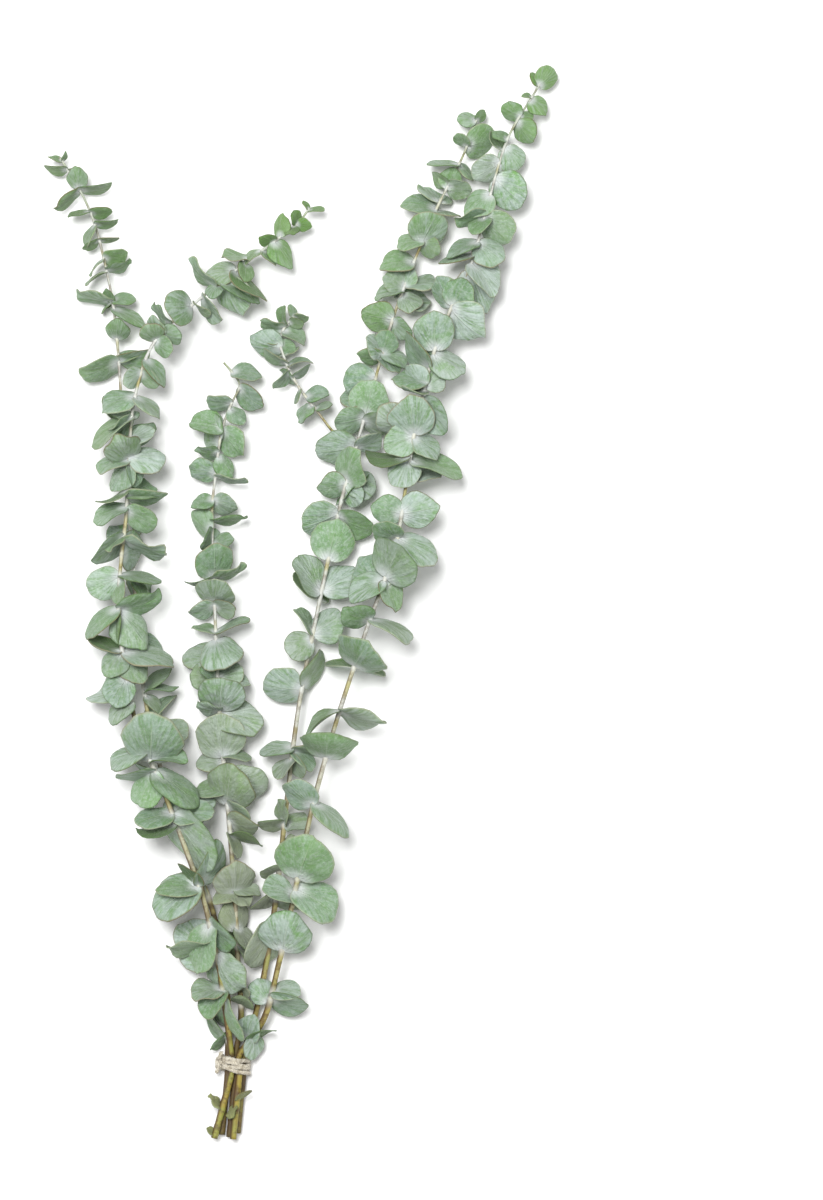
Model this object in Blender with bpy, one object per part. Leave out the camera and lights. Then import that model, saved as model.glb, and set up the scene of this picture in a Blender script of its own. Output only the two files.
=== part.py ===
"""A tied bunch of eucalyptus, laid on its side on a flat surface.

Five cut stems carry round, stalkless leaves in opposite pairs, each pair turned a quarter
from the one below, and one of them has a side shoot. Turns of jute twine hold the stems
together near their cut ends. Named values are in millimetres and degrees. +Y runs from
the cut ends to the tips, +Z is up, and the surface that the bunch lies on is Z = 0.
"""

import itertools
import math
import random
from dataclasses import dataclass
from operator import itemgetter

import bmesh
import bpy
from mathutils import Vector
from mathutils.bvhtree import BVHTree

METRES = 0.001

# Stems and leaves are laid out on a plan seen from above. One unit of it is this many
# millimetres. Its x runs right, and its y runs down from the tips to the cut ends.
PLAN_UNIT = 0.68
PLAN_CENTRE = (299.5, 603.5)

# Stems
BUTT_RADIUS = 2.4
TIP_RADIUS = 0.7
SHOOT_RADIUS = 1.1
TAPER_POWER = 0.8
STEM_SIDES = 4
RING_STEP = 30.0
SPAN_SAMPLES = 12

# Leaves
BLADE_THICKNESS = 0.7
LARGE_LEAF = 37.0
ROOT_DEPTH = 0.5
LEAST_LENGTH = 0.62
HIDDEN_TWIST = 42.0
HIDDEN_PITCH = 62.0
PITCH_SPREAD = 18.0
LYING = 0.6
LYING_SPREAD = 0.3
LENGTH_SPREAD = 0.09
CURL = 22.0
CURL_SPREAD = 18.0
CUP = 0.08
CUP_SPREAD = 0.08
# A leaf that shows this share of its face or more arches up from above
ARCHED_FACE = 0.75

# Room that a leaf keeps from other leaves, stems and the twine
TEST_THICKNESS = 1.5
TEST_GROWTH = 1.04
FLAT_ANGLE = 0.5
STEM_ROOM = 0.7
PRESSED_DEPTH = 9.0
SAME_NODE = 4.0

# Twine
TWINE_RADIUS = 1.6
TWINE_SIDES = 6
TWINE_TURNS = 4
TWINE_PITCH = 2.7
TWINE_GAP = 0.45
CORNER_STEPS = 2
KNOT_SIZE = (3.8, 5.6, 4.6)
KNOT_OUT = 2.3

# The stems lie under the twine in two rows, at these heights
TIE_STEM_RADIUS = 2.2
TWINE_SQUASH = 0.2
TWINE_FLAT = TWINE_RADIUS * math.cos(math.pi / TWINE_SIDES)
TIE_LOW_ROW = TIE_STEM_RADIUS + TWINE_GAP + TWINE_RADIUS + TWINE_FLAT - TWINE_SQUASH
TIE_HIGH_ROW = TIE_LOW_ROW + 4.7
TIE_TOP = 1058.5
TIE_FOOT = 1076.5
TIE_CENTRE = (TIE_TOP + TIE_FOOT) / 2
TIE_LOW_X = (226.0, 233.9, 241.9)
TIE_HIGH_X = (229.9, 237.9)


@dataclass(frozen=True)
class Stem:
    """A stem on the plan, and the leaves that grow from it."""

    name: str
    route: tuple  # (x, y, height of its centre line in millimetres), from the cut end
    lengths: tuple  # (y, leaf length in millimetres), joined by straight lines
    breadth: float  # a leaf's width over its length
    leaves: tuple  # (y of the root, x and y of the tip, share of the face seen from above).
    # Under 1 it gives the length too. Below 0 the leaf falls instead of rising.
    hidden: tuple  # (first y, last y, spacing) of the leaves on the side of the surface
    seed: int
    butt_radius: float = BUTT_RADIUS


@dataclass(frozen=True)
class Leaf:
    """One leaf: its root, its directions when flat, and how it bends."""

    stem: str
    root: Vector
    along: Vector
    across: Vector
    normal: Vector
    length: float
    half_width: float
    curl: float
    cup: float


RIGHT_FRONT = Stem(
    "right_front",
    route=(
        *((231.6, 1143.5, 9.4), (TIE_HIGH_X[1], TIE_FOOT, TIE_HIGH_ROW)),
        *((TIE_HIGH_X[1], TIE_TOP, TIE_HIGH_ROW), (263.5, 1020, 16), (278.5, 964, 22)),
        *((292, 905, 28), (313, 805, 35), (340, 710, 37), (370, 620, 37), (397, 540, 37)),
        *((413, 440, 36), (437, 343, 34), (472, 261, 30), (490, 196, 25), (508, 137, 20)),
        *((534, 92, 16), (543, 76, 14)),
    ),
    lengths=(
        *((76, 11), (110, 14), (140, 19), (200, 25), (270, 28), (400, 30), (440, 32)),
        *((560, 38), (880, 38), (960, 33), (1050, 26), (1090, 10)),
    ),
    breadth=1.08,
    leaves=(
        *((82, 557, 67, 0.9), (82, 533, 69, 0.6), (95, 523, 91, 0.5), (97, 549, 110, 0.9)),
        *((114, 532, 108, 0.8), (114, 502, 106, 0.8), (120, 531, 141, 0.8), (138, 495, 127, 0.7)),
        *((146, 520, 168, 0.99), (162, 475, 181, 0.8), (178, 522, 205, 0.95), (194, 464, 212, 0.8)),
        *((214, 456, 223, 0.4), (218, 508, 243, 0.85), (218, 474, 234, 0.7), (242, 446, 254, 0.5)),
        *((243, 505, 261, 0.85), (256, 439, 259, 0.35), (263, 500, 292, 0.7), (270, 494, 312, 0.8)),
        *((306, 436, 279, 0.8), (306, 466, 276, 0.85), (310, 478, 344, 0.8), (350, 434, 314, 1.0)),
        *((347, 413, 334, 0.7), (354, 464, 374, 0.75), (387, 405, 368, 0.8), (387, 443, 367, 0.95)),
        *((382, 392, 375, 0.5), (392, 402, 398, 0.4), (402, 445, 434, 0.7), (435, 411, 404, 1.0)),
        *((432, 377, 415, 0.75), (438, 384, 449, 0.7), (438, 443, 452, 0.8), (462, 464, 468, 0.35)),
        *((461, 396, 484, 0.95), (457, 365, 468, 0.35), (514, 371, 508, 0.95), (514, 438, 508, 0.95)),
        *((538, 377, 531, 0.55), (538, 436, 562, 0.6), (577, 398, 547, 1.0), (581, 347, 592, 0.6)),
        *((581, 397, 611, 0.65), (620, 346, 617, 0.65), (619, 417, 628, 0.15), (666, 362, 653, 1.0)),
        *((668, 352, 678, -1.0), (711, 303, 728, 0.15), (711, 382, 732, 0.25), (757, 329, 739, 1.0)),
        *((803, 358, 824, 0.2), (805, 287, 783, 0.8), (878, 309, 847, 1.0), (889, 338, 911, 0.65)),
        *((895, 266, 884, 0.6), (951, 289, 918, 1.0), (1000, 305, 1014, 0.6), (992, 298, 988, 0.5)),
        *((1004, 258, 980, 0.95), (1044, 249, 1016, 0.55), (1038, 254, 1063, 0.7)),
        *((1045, 270, 1024, 0.35), (1104, 246, 1089, 0.35), (1110, 222, 1125, 0.35)),
    ),
    hidden=(150, 620, 110),
    seed=11,
)

LEFT_FRONT = Stem(
    "left_front",
    route=(
        *((212.6, 1142.5, 9.6), (TIE_HIGH_X[0], TIE_FOOT, TIE_HIGH_ROW)),
        *((TIE_HIGH_X[0], TIE_TOP, TIE_HIGH_ROW), (225.5, 1020, 17), (216.5, 959, 25)),
        *((203.5, 899, 32), (167.5, 799, 37), (134.5, 714, 38), (119.5, 609, 38), (126.5, 520, 37)),
        *((133.5, 409, 36), (145.5, 361, 34), (161.6, 333, 31), (214.5, 286, 25), (269.5, 243, 20)),
        *((296, 222, 17), (309, 206, 16)),
    ),
    lengths=(
        *((206, 9), (220, 17), (240, 22), (300, 26), (520, 27), (610, 30), (720, 38), (760, 41)),
        *((1050, 38), (1090, 9)),
    ),
    breadth=0.98,
    leaves=(
        *((207, 304, 198, 0.6), (208, 324, 206, 0.4), (222, 311, 225, 0.9), (221, 296, 212, 0.7)),
        *((225, 289, 231, 0.8), (235, 279, 212, 0.75), (240, 295, 264, 0.75), (240, 261, 241, 0.5)),
        *((249, 279, 260, 0.5), (250, 239, 259, 0.42), (259, 221, 254, 0.35), (262, 247, 279, 0.7)),
        *((270, 203, 271, 0.8), (284, 210, 296, 0.95), (286, 184, 264, 0.2), (280, 264, 290, 0.4)),
        *((278, 238, 317, 0.8), (270, 262, 305, 0.35), (297, 221, 324, 0.45), (303, 206, 321, 0.1)),
        *((306, 172, 310, 1.0), (325, 152, 305, 0.35), (335, 151, 320, 0.7), (333, 179, 340, 0.8)),
        *((340, 149, 334, 0.8), (342, 170, 354, 0.9), (360, 168, 384, 0.45), (374, 127, 386, 0.85)),
        *((374, 158, 388, 0.7), (398, 99, 402, 0.6), (398, 163, 416, 0.4), (418, 114, 437, 0.5)),
        *((418, 93, 447, 0.35), (440, 155, 430, 0.7), (459, 121, 441, 1.0), (456, 167, 455, 0.8)),
        *((460, 96, 463, 0.45), (464, 112, 490, 0.8), (464, 141, 486, 0.5), (497, 167, 503, 0.4)),
        *((490, 102, 512, 0.45), (496, 157, 491, 0.3), (507, 93, 517, 0.45), (511, 155, 529, 0.7)),
        *((537, 96, 565, 0.45), (541, 166, 560, 0.25), (536, 108, 548, 0.4), (577, 90, 592, 0.99)),
        *((580, 117, 605, 0.7), (575, 163, 573, 0.2), (609, 81, 629, 0.4), (609, 165, 606, 0.4)),
        *((613, 151, 644, 0.85), (614, 112, 643, 0.35), (651, 86, 646, 0.25), (652, 178, 651, 0.4)),
        *((652, 108, 674, 0.95), (655, 148, 680, 0.9), (678, 113, 702, 0.6), (701, 110, 718, 0.65)),
        *((760, 155, 724, 1.0), (750, 109, 759, 0.4), (760, 186, 750, 0.3), (771, 119, 780, 0.35)),
        *((770, 139, 805, 0.85), (772, 203, 801, 0.45), (812, 138, 818, 0.5), (822, 140, 842, 0.4)),
        *((816, 210, 869, 0.95), (814, 214, 807, 0.6), (884, 230, 847, 0.4), (884, 152, 908, 0.7)),
        *((884, 184, 858, 0.6), (887, 158, 882, 0.45), (926, 195, 972, 0.65), (944, 169, 955, 0.35)),
        *((924, 230, 946, 0.7), (956, 231, 998, 0.8), (992, 204, 1012, 0.6), (990, 194, 989, 0.45)),
        *((1002, 230, 1046, 0.45), (1112, 210, 1098, 0.3), (1139, 207, 1132, 0.6)),
    ),
    hidden=(420, 960, 135),
    seed=23,
)

RIGHT_BACK = Stem(
    "right_back",
    route=(
        *((235.5, 1138.5, 4.6), (TIE_LOW_X[2], TIE_FOOT, TIE_LOW_ROW)),
        *((TIE_LOW_X[2], TIE_TOP, TIE_LOW_ROW), (253.5, 1020, 8), (265.5, 964, 12)),
        *((274.5, 905, 16), (286.5, 799, 18), (298.5, 705, 18), (317.5, 609, 18), (341.5, 499, 18)),
        *((369.5, 399, 18), (395.5, 309, 17), (434.5, 211, 16), (462.4, 155, 15), (475.5, 120, 14)),
        *((481, 108, 13),),
    ),
    lengths=(
        *((108, 13), (130, 19), (200, 25), (300, 27), (480, 28), (560, 31), (700, 31), (820, 27)),
        *((1000, 27),),
    ),
    breadth=1.1,
    leaves=(
        *((118, 458, 111, 0.8), (117, 486, 108, 0.7), (143, 502, 136, 0.75), (143, 457, 134, 0.5)),
        *((162, 428, 161, 0.3), (163, 480, 171, 0.5), (182, 431, 174, 0.5), (184, 471, 190, 0.7)),
        *((186, 456, 166, 0.99), (207, 403, 196, 0.55), (209, 461, 212, 0.25), (240, 436, 218, 1.0)),
        *((238, 396, 241, 0.6), (240, 436, 254, 0.9), (261, 379, 257, 0.6), (284, 386, 275, 0.8)),
        *((284, 437, 272, 0.5), (286, 406, 263, 0.95), (289, 374, 291, 0.4), (294, 418, 304, 0.9)),
        *((318, 361, 313, 0.85), (320, 409, 338, 0.7), (351, 369, 338, 0.8), (352, 389, 330, 0.95)),
        *((352, 410, 359, 0.5), (354, 358, 361, 0.5), (356, 399, 367, 0.6), (378, 343, 385, 0.99)),
        *((415, 374, 380, 1.0), (417, 335, 426, 0.75), (420, 396, 432, 0.5), (446, 382, 437, 0.5)),
        *((446, 316, 458, 0.75), (481, 350, 451, 1.0), (483, 376, 481, 0.85), (484, 318, 491, 0.85)),
        *((487, 360, 502, 0.85), (514, 304, 532, 0.75), (516, 370, 538, 0.6), (559, 337, 521, 1.0)),
        *((592, 297, 556, 0.65), (590, 358, 567, 0.6), (632, 299, 607, 0.3), (633, 341, 612, 0.9)),
        *((640, 288, 652, 0.99), (686, 331, 658, 0.45), (690, 262, 690, 0.85), (748, 259, 751, 0.4)),
        *((750, 314, 769, 0.5), (751, 327, 754, 0.3), (760, 277, 779, 0.5), (760, 303, 774, 0.6)),
        *((825, 258, 830, 0.5), (825, 281, 801, 0.4), (826, 307, 818, 0.6), (852, 297, 840, 0.6)),
        *((872, 267, 872, 0.4), (898, 254, 916, 0.45), (900, 304, 911, 0.5), (928, 258, 974, 0.55)),
    ),
    hidden=(200, 630, 100),
    seed=37,
)

SIDE_SHOOT = Stem(
    "right_back",
    route=(
        *((357, 446, 18), (335, 433, 18), (318, 412, 17), (301, 390, 16), (290, 372, 15)),
        *((283, 355, 14), (279, 340, 14), (284, 325, 14), (297, 311, 15)),
    ),
    lengths=((311, 9), (335, 15), (446, 15)),
    breadth=1.0,
    leaves=(
        *((404, 294, 417, 0.6), (408, 331, 402, 0.45), (396, 328, 389, 0.7), (388, 294, 403, 0.25)),
        *((376, 312, 367, 0.25), (371, 275, 389, 0.35), (364, 312, 358, 0.35), (362, 262, 350, 0.3)),
        *((346, 248, 341, 0.85), (340, 262, 330, 0.5), (342, 294, 350, 0.95), (329, 307, 337, 0.6)),
        *((326, 258, 326, 0.4), (324, 277, 305, 0.4), (320, 303, 324, 0.6), (315, 292, 302, 0.7)),
        *((315, 308, 318, 0.6),),
    ),
    hidden=(330, 400, 24),
    seed=67,
    butt_radius=SHOOT_RADIUS,
)

MIDDLE = Stem(
    "middle",
    route=(
        *((227.4, 1142.5, 4.6), (TIE_LOW_X[1], TIE_FOOT, TIE_LOW_ROW)),
        *((TIE_LOW_X[1], TIE_TOP, TIE_LOW_ROW), (239.5, 1020, 8), (236.5, 964, 12)),
        *((233.5, 899, 15), (228.5, 830, 16), (217.5, 699, 16), (212.5, 574, 16), (210.5, 515, 15)),
        *((220.5, 430, 15), (230.5, 402, 15), (238.5, 384, 14), (231, 371, 14), (222.4, 361, 14)),
    ),
    lengths=(
        *((361, 9), (390, 18), (430, 22), (577, 27), (710, 31), (806, 33), (896, 27), (1000, 25)),
    ),
    breadth=1.05,
    leaves=(
        *((371, 260, 371, 0.6), (386, 257, 411, 0.6), (402, 205, 406, 0.5), (408, 245, 421, 0.8)),
        *((426, 189, 420, 0.72), (430, 240, 455, 0.75), (452, 194, 455, 0.5), (472, 188, 470, 0.85)),
        *((456, 233, 475, 0.85), (476, 246, 484, 0.12), (499, 190, 505, 0.7), (500, 234, 512, 0.85)),
        *((530, 183, 516, 0.75), (520, 247, 521, 0.15), (534, 206, 546, 0.3), (544, 232, 538, 0.7)),
        *((577, 216, 545, 1.0), (578, 186, 590, 0.15), (578, 248, 575, 0.15), (603, 217, 587, 1.0)),
        *((606, 189, 618, 0.6), (606, 234, 611, 0.7), (632, 193, 622, 0.5), (632, 245, 613, 0.15)),
        *((640, 221, 658, 1.0), (680, 192, 672, 0.8), (679, 241, 668, 0.8), (679, 206, 667, 0.5)),
        *((682, 250, 677, 0.45), (710, 222, 686, 1.0), (712, 197, 707, 0.5), (715, 261, 727, 0.7)),
        *((757, 218, 720, 1.0), (756, 250, 753, 0.3), (764, 196, 758, 0.7), (806, 227, 766, 1.0)),
        *((786, 267, 792, 0.85), (790, 194, 789, 0.5), (808, 247, 821, 0.6), (824, 261, 831, 0.45)),
        *((838, 262, 843, 0.12), (836, 240, 856, 0.6), (896, 237, 867, 1.0), (890, 259, 892, 0.4)),
        *((895, 251, 899, 0.4), (893, 214, 900, 0.5), (932, 235, 900, 1.0), (930, 254, 951, 0.5)),
        *((948, 253, 966, 0.15), (988, 248, 991, 0.4), (1008, 246, 998, 0.5)),
    ),
    hidden=(440, 760, 110),
    seed=41,
)

LEFT_BACK = Stem(
    "left_back",
    route=(
        *((219.4, 1140, 4.6), (TIE_LOW_X[0], TIE_FOOT, TIE_LOW_ROW)),
        *((TIE_LOW_X[0], TIE_TOP, TIE_LOW_ROW), (226.7, 1020, 7), (221.6, 959, 10)),
        *((206.6, 899, 13), (182.4, 845, 15), (145.5, 711, 15), (130.5, 555, 15), (119.5, 399, 15)),
        *((111.6, 305, 15), (92.4, 221, 14), (77.5, 187, 13.5), (57, 154, 13)),
    ),
    lengths=((154, 7), (170, 13), (187, 18), (250, 17), (400, 23), (700, 28), (1020, 26)),
    breadth=0.92,
    leaves=(
        *((158, 47, 150, 0.4), (158, 66, 150, 0.3), (166, 42, 170, 0.35), (168, 80, 172, 0.3)),
        *((185, 74, 163, 1.0), (187, 55, 210, 0.2), (187, 110, 188, 0.2), (209, 66, 213, 0.35)),
        *((210, 110, 214, 0.45), (222, 117, 223, 0.3), (223, 79, 243, 0.4), (238, 82, 248, 0.3)),
        *((238, 118, 239, 0.2), (256, 126, 257, 0.7), (257, 86, 273, 0.25), (270, 81, 276, 0.2)),
        *((268, 131, 267, 0.25), (299, 73, 298, 0.2), (298, 134, 297, 0.6), (300, 104, 288, 0.7)),
        *((307, 147, 323, 0.35), (337, 117, 325, 1.0), (361, 80, 380, 0.55), (358, 149, 360, 0.45)),
        *((440, 157, 432, 0.5), (480, 157, 490, 0.4), (573, 152, 583, 0.3), (580, 146, 597, 0.4)),
        *((640, 165, 648, 0.4), (688, 169, 668, 0.45), (692, 174, 679, 0.15), (697, 163, 711, 0.5)),
        *((738, 186, 726, 0.85), (1028, 210, 1018, 0.5), (1044, 198, 1020, 0.3)),
        *((1038, 214, 1058, 0.4),),
    ),
    hidden=(300, 980, 60),
    seed=59,
)

STEMS = (RIGHT_FRONT, LEFT_FRONT, RIGHT_BACK, SIDE_SHOOT, MIDDLE, LEFT_BACK)


def on_plan(x, y, height=0.0):
    """A place on the plan, in millimetres."""
    return Vector(
        ((x - PLAN_CENTRE[0]) * PLAN_UNIT, (PLAN_CENTRE[1] - y) * PLAN_UNIT, height)
    )


def profile(points, y):
    """The value at height y on straight lines through (y, value) points."""
    if y <= points[0][0]:
        return points[0][1]
    for (y0, v0), (y1, v1) in itertools.pairwise(points):
        if y <= y1:
            return v0 + (v1 - v0) * (y - y0) / (y1 - y0)
    return points[-1][1]


def smooth_spans(points):
    """The spans of a smooth curve through the route (a Catmull-Rom spline), as points.

    The span under the twine is straight.
    """
    knots = [on_plan(*p) for p in points]
    knots = [2 * knots[0] - knots[1], *knots, 2 * knots[-1] - knots[-2]]
    spans = []
    for a, b, c, d in zip(knots, knots[1:], knots[2:], knots[3:]):
        samples = []
        for step in range(SPAN_SAMPLES + 1):
            t = step / SPAN_SAMPLES
            samples.append(
                0.5
                * (
                    2 * b
                    + (c - a) * t
                    + (2 * a - 5 * b + 4 * c - d) * t**2
                    + (3 * b - a - 3 * c + d) * t**3
                )
            )
        tied = b.y == on_plan(0, TIE_FOOT).y
        spans.append([b, c] if tied else samples)
    return spans


def travel_along(points):
    """How far along the line each of its points is."""
    travel = [0.0]
    for a, b in itertools.pairwise(points):
        travel.append(travel[-1] + (b - a).length)
    return travel


def even_points(points, step):
    """The same line as points an even step apart, its ends kept."""
    travel = travel_along(points)
    spans = max(1, round(travel[-1] / step))
    even = [points[0]]
    i = 0
    for k in range(1, spans):
        target = travel[-1] * k / spans
        while travel[i + 1] < target:
            i += 1
        share = (target - travel[i]) / (travel[i + 1] - travel[i])
        even.append(points[i].lerp(points[i + 1], share))
    return [*even, points[-1]]


class Axis:
    """A stem's centre line, with the stem's direction and radius along it."""

    def __init__(self, stem):
        spans = [even_points(span, RING_STEP) for span in smooth_spans(stem.route)]
        self.points = [spans[0][0]] + [point for span in spans for point in span[1:]]
        self.travel = travel_along(self.points)
        self.length = self.travel[-1]
        self.butt_radius = stem.butt_radius

    def at(self, distance):
        """(point, direction) this far from the cut end."""
        distance = min(max(distance, 0.0), self.length)
        i = next(k for k, d in enumerate(self.travel[1:]) if d >= distance - 1e-9)
        span = self.points[i + 1] - self.points[i]
        share = (distance - self.travel[i]) / span.length
        return self.points[i] + span * share, span.normalized()

    def distance_at(self, y):
        """How far from the cut end the stem reaches height y."""
        for i, (a, b) in enumerate(itertools.pairwise(self.points)):
            if a.y <= y <= b.y:
                share = (y - a.y) / (b.y - a.y)
                return self.travel[i] + share * (b - a).length
        return self.length

    def radius(self, distance):
        share = (distance / self.length) ** TAPER_POWER
        return self.butt_radius + (TIP_RADIUS - self.butt_radius) * share


def ring_directions(direction):
    """The directions across a stem, one that faces up and one that faces right."""
    up = Vector((0, 0, 1))
    up = (up - direction * up.dot(direction)).normalized()
    return up, direction.cross(up)


def make_leaf(stem, root, along, seen, length, draw):
    """A leaf by its direction and by the share of its face that shows from above."""
    flat = Vector((0, 0, 1)) - along * along.z
    flat.normalize()
    sideways = along.cross(flat)
    roll = math.acos(min(abs(seen), 1.0)) * (1 if draw["roll"] > 0 else -1)
    return Leaf(
        stem=stem.name,
        root=root,
        along=along,
        across=sideways * math.cos(roll) - flat * math.sin(roll),
        normal=flat * math.cos(roll) + sideways * math.sin(roll),
        length=length,
        half_width=length * stem.breadth / 2,
        curl=math.radians(CURL + draw["curl"] * CURL_SPREAD),
        cup=(CUP + draw["cup"] * CUP_SPREAD) * (-1 if seen >= ARCHED_FACE else 1),
    )


def seen_leaf(stem, axis, entry, draw):
    """A leaf of the stem's list. It rises from its stem as far as its length asks."""
    y, tip_x, tip_y, seen = entry
    distance = axis.distance_at(on_plan(0, y).y)
    point, direction = axis.at(distance)
    reach = on_plan(tip_x, tip_y) - point
    reach.z = 0.0
    length = profile(stem.lengths, y) * (1 + draw["length"] * LENGTH_SPREAD)
    if abs(seen) < 1.0:
        length = max(reach.length, length * LEAST_LENGTH)
    length = max(length, reach.length * 1.02)
    rise = math.copysign(math.sqrt(length**2 - reach.length**2), seen)
    along = (reach + Vector((0, 0, rise))) / length
    outward = (along - direction * along.dot(direction)).normalized()
    root = point + outward * ROOT_DEPTH * axis.radius(distance)
    return make_leaf(stem, root, along, seen, length, draw), direction


def hidden_leaf(stem, axis, y, side, draw):
    """A leaf on the side of the surface, by rule: to the left and right in turn."""
    distance = axis.distance_at(on_plan(0, y).y)
    point, direction = axis.at(distance)
    up, right = ring_directions(direction)
    twist = math.radians(180 + side * HIDDEN_TWIST + draw["twist"] * PITCH_SPREAD)
    outward = up * math.cos(twist) + right * math.sin(twist)
    pitch = math.radians(HIDDEN_PITCH + draw["pitch"] * PITCH_SPREAD)
    along = direction * math.cos(pitch) + outward * math.sin(pitch)
    length = profile(stem.lengths, y) * (1 + draw["length"] * LENGTH_SPREAD)
    root = point + outward * ROOT_DEPTH * axis.radius(distance)
    seen = LYING + draw["roll"] * LYING_SPREAD
    return make_leaf(stem, root, along, seen, length, draw), direction


def blade_point(leaf, share, breadth):
    """(point, normal) on a leaf's middle surface, by the shares of its length and half width."""
    angle = leaf.curl * share
    reach = leaf.length * math.sin(angle) / leaf.curl
    drop = leaf.length * (1 - math.cos(angle)) / leaf.curl
    normal = leaf.normal * math.cos(angle) + leaf.along * math.sin(angle)
    point = leaf.root + leaf.along * reach - leaf.normal * drop
    point += leaf.across * (breadth * leaf.half_width)
    return point + normal * (leaf.cup * leaf.half_width * breadth**2), normal


# One side of a leaf's outline between its root and its tip, as shares of length and half width
LARGE_SIDE = ((0.08, 0.64), (0.40, 1.0), (0.81, 0.74))
SMALL_SIDE = ((0.22, 0.86), (0.74, 0.86))


def blade_mesh(leaf, thickness, growth=1.0):
    """(points, faces) of a leaf's closed blade, pressed flat where it meets the surface."""
    side = LARGE_SIDE if leaf.length > LARGE_LEAF else SMALL_SIDE
    other_side = [(share, -breadth) for share, breadth in reversed(side)]
    outline = [(0.0, 0.0), *side, (1.0, 0.0), *other_side]
    rim = len(outline)
    points = []
    for half in (0.5, -0.5):
        for share, breadth in outline:
            point, normal = blade_point(leaf, share * growth, breadth * growth)
            points.append(point + normal * (half * thickness))
    for i in range(rim):
        upper, lower = sorted((points[i], points[i + rim]), key=lambda p: -p.z)
        lower.z = max(lower.z, 0.0)
        upper.z = max(upper.z, thickness)
    top = [(0, 1, rim - 1)]
    for i in range(1, len(side)):
        top += [(i, i + 1, rim - i), (i + 1, rim - i - 1, rim - i)]
    top.append((len(side), len(side) + 1, len(side) + 2))
    faces = [tuple(reversed(face)) for face in top]
    faces += [tuple(i + rim for i in face) for face in top]
    for i in range(rim):
        j = (i + 1) % rim
        faces += [(i, j, j + rim), (i, j + rim, i + rim)]
    return points, faces


def tube_mesh(axis, sides, extra_radius=0.0):
    """(points, faces) of a stem's closed tube."""
    rings = len(axis.points)
    points, faces = [], []
    for ring, centre in enumerate(axis.points):
        before, after = axis.points[max(ring - 1, 0)], axis.points[min(ring + 1, rings - 1)]
        up, right = ring_directions((after - before).normalized())
        radius = axis.radius(axis.travel[ring]) + extra_radius
        for side in range(sides):
            turn = 2 * math.pi * side / sides
            points.append(centre + (up * math.cos(turn) + right * math.sin(turn)) * radius)
    for ring, side in itertools.product(range(rings - 1), range(sides)):
        a = ring * sides + side
        b = ring * sides + (side + 1) % sides
        faces += [(a, b, b + sides), (a, b + sides, a + sides)]
    last = (rings - 1) * sides
    for side in range(1, sides - 1):
        faces += [(0, side + 1, side), (last, last + side, last + side + 1)]
    return points, faces


def tie_path():
    """The twine's centre line round the stems, as (x, z) points, with rounded corners."""
    low, high = TIE_LOW_ROW, TIE_HIGH_ROW
    places = ((TIE_LOW_X[2], low), (TIE_HIGH_X[1], high), (TIE_HIGH_X[0], high), (TIE_LOW_X[0], low))
    corners = [(on_plan(x, 0).x, z) for x, z in places]
    offset = TIE_STEM_RADIUS + TWINE_GAP + TWINE_RADIUS
    path = []
    for i, corner in enumerate(corners):
        before, after = corners[i - 1], corners[(i + 1) % len(corners)]
        start = math.atan2(corner[1] - before[1], corner[0] - before[0]) - math.pi / 2
        end = math.atan2(after[1] - corner[1], after[0] - corner[0]) - math.pi / 2
        while end < start:
            end += 2 * math.pi
        for step in range(CORNER_STEPS + 1):
            turn = start + (end - start) * step / CORNER_STEPS
            path.append((corner[0] + offset * math.cos(turn), corner[1] + offset * math.sin(turn)))
    return path


def twine_turn(y):
    """(points, faces) of one closed turn of twine, with a flat side all the way round outside."""
    path = tie_path()
    count = len(path)
    points, faces = [], []
    for i, (x, z) in enumerate(path):
        before, after = path[i - 1], path[(i + 1) % count]
        heading = Vector((after[0] - before[0], 0, after[1] - before[1])).normalized()
        outward = Vector((heading.z, 0, -heading.x))
        for side in range(TWINE_SIDES):
            turn = 2 * math.pi * (side + 0.5) / TWINE_SIDES
            spread = outward * math.cos(turn) + Vector((0, 1, 0)) * math.sin(turn)
            point = Vector((x, y, z)) + spread * TWINE_RADIUS
            point.z = max(point.z, 0.0)
            points.append(point)
    for i, side in itertools.product(range(count), range(TWINE_SIDES)):
        a = i * TWINE_SIDES + side
        b = i * TWINE_SIDES + (side + 1) % TWINE_SIDES
        c = (a + TWINE_SIDES) % len(points)
        d = (b + TWINE_SIDES) % len(points)
        faces += [(a, b, d), (a, d, c)]
    return points, faces


def lowest(leaf):
    """How low the leaf would reach with no surface under it."""
    spots = ((0.5, -1.0), (0.5, 1.0), (1.0, 0.0))
    return min(blade_point(leaf, *spot)[0].z for spot in spots)


def tree_of(mesh):
    return BVHTree.FromPolygons(mesh[0], mesh[1])


def span_of(mesh):
    """(centre, reach) of a ball round a mesh."""
    centre = sum(mesh[0], Vector()) / len(mesh[0])
    return centre, max((p - centre).length for p in mesh[0])


# Ways to bend a leaf clear of its neighbours: pitch, twist, roll, size
BENDS = tuple(
    itertools.product(
        (0, -12, 12, -24, 24, -38, 38, 54),
        (0, -14, 14, -28, 28),
        (0, -22, 22, -44, 44),
        (1.0, 0.88, 0.76, 0.66),
    )
)

# What the bend costs, beside how far it moves the tip as seen from above: the face that turns
# from or to the eye, the turn in space, the size lost, and each leaf of the same stem crossed
FACE_COST = 0.6
TURN_COST = 0.12
SIZE_COST = 1.2
CROSSING_COST = 0.3


def look_change(first, leaf):
    """How much the bent leaf's look from above has changed."""
    moved = (leaf.along * leaf.length - first.along * first.length).xy.length / first.length
    face = abs(abs(leaf.normal.z) - abs(first.normal.z))
    turn = (leaf.along - first.along).length + (leaf.normal - first.normal).length
    lost = 1 - leaf.length / first.length
    return moved + FACE_COST * face + TURN_COST * turn + SIZE_COST * lost


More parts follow.
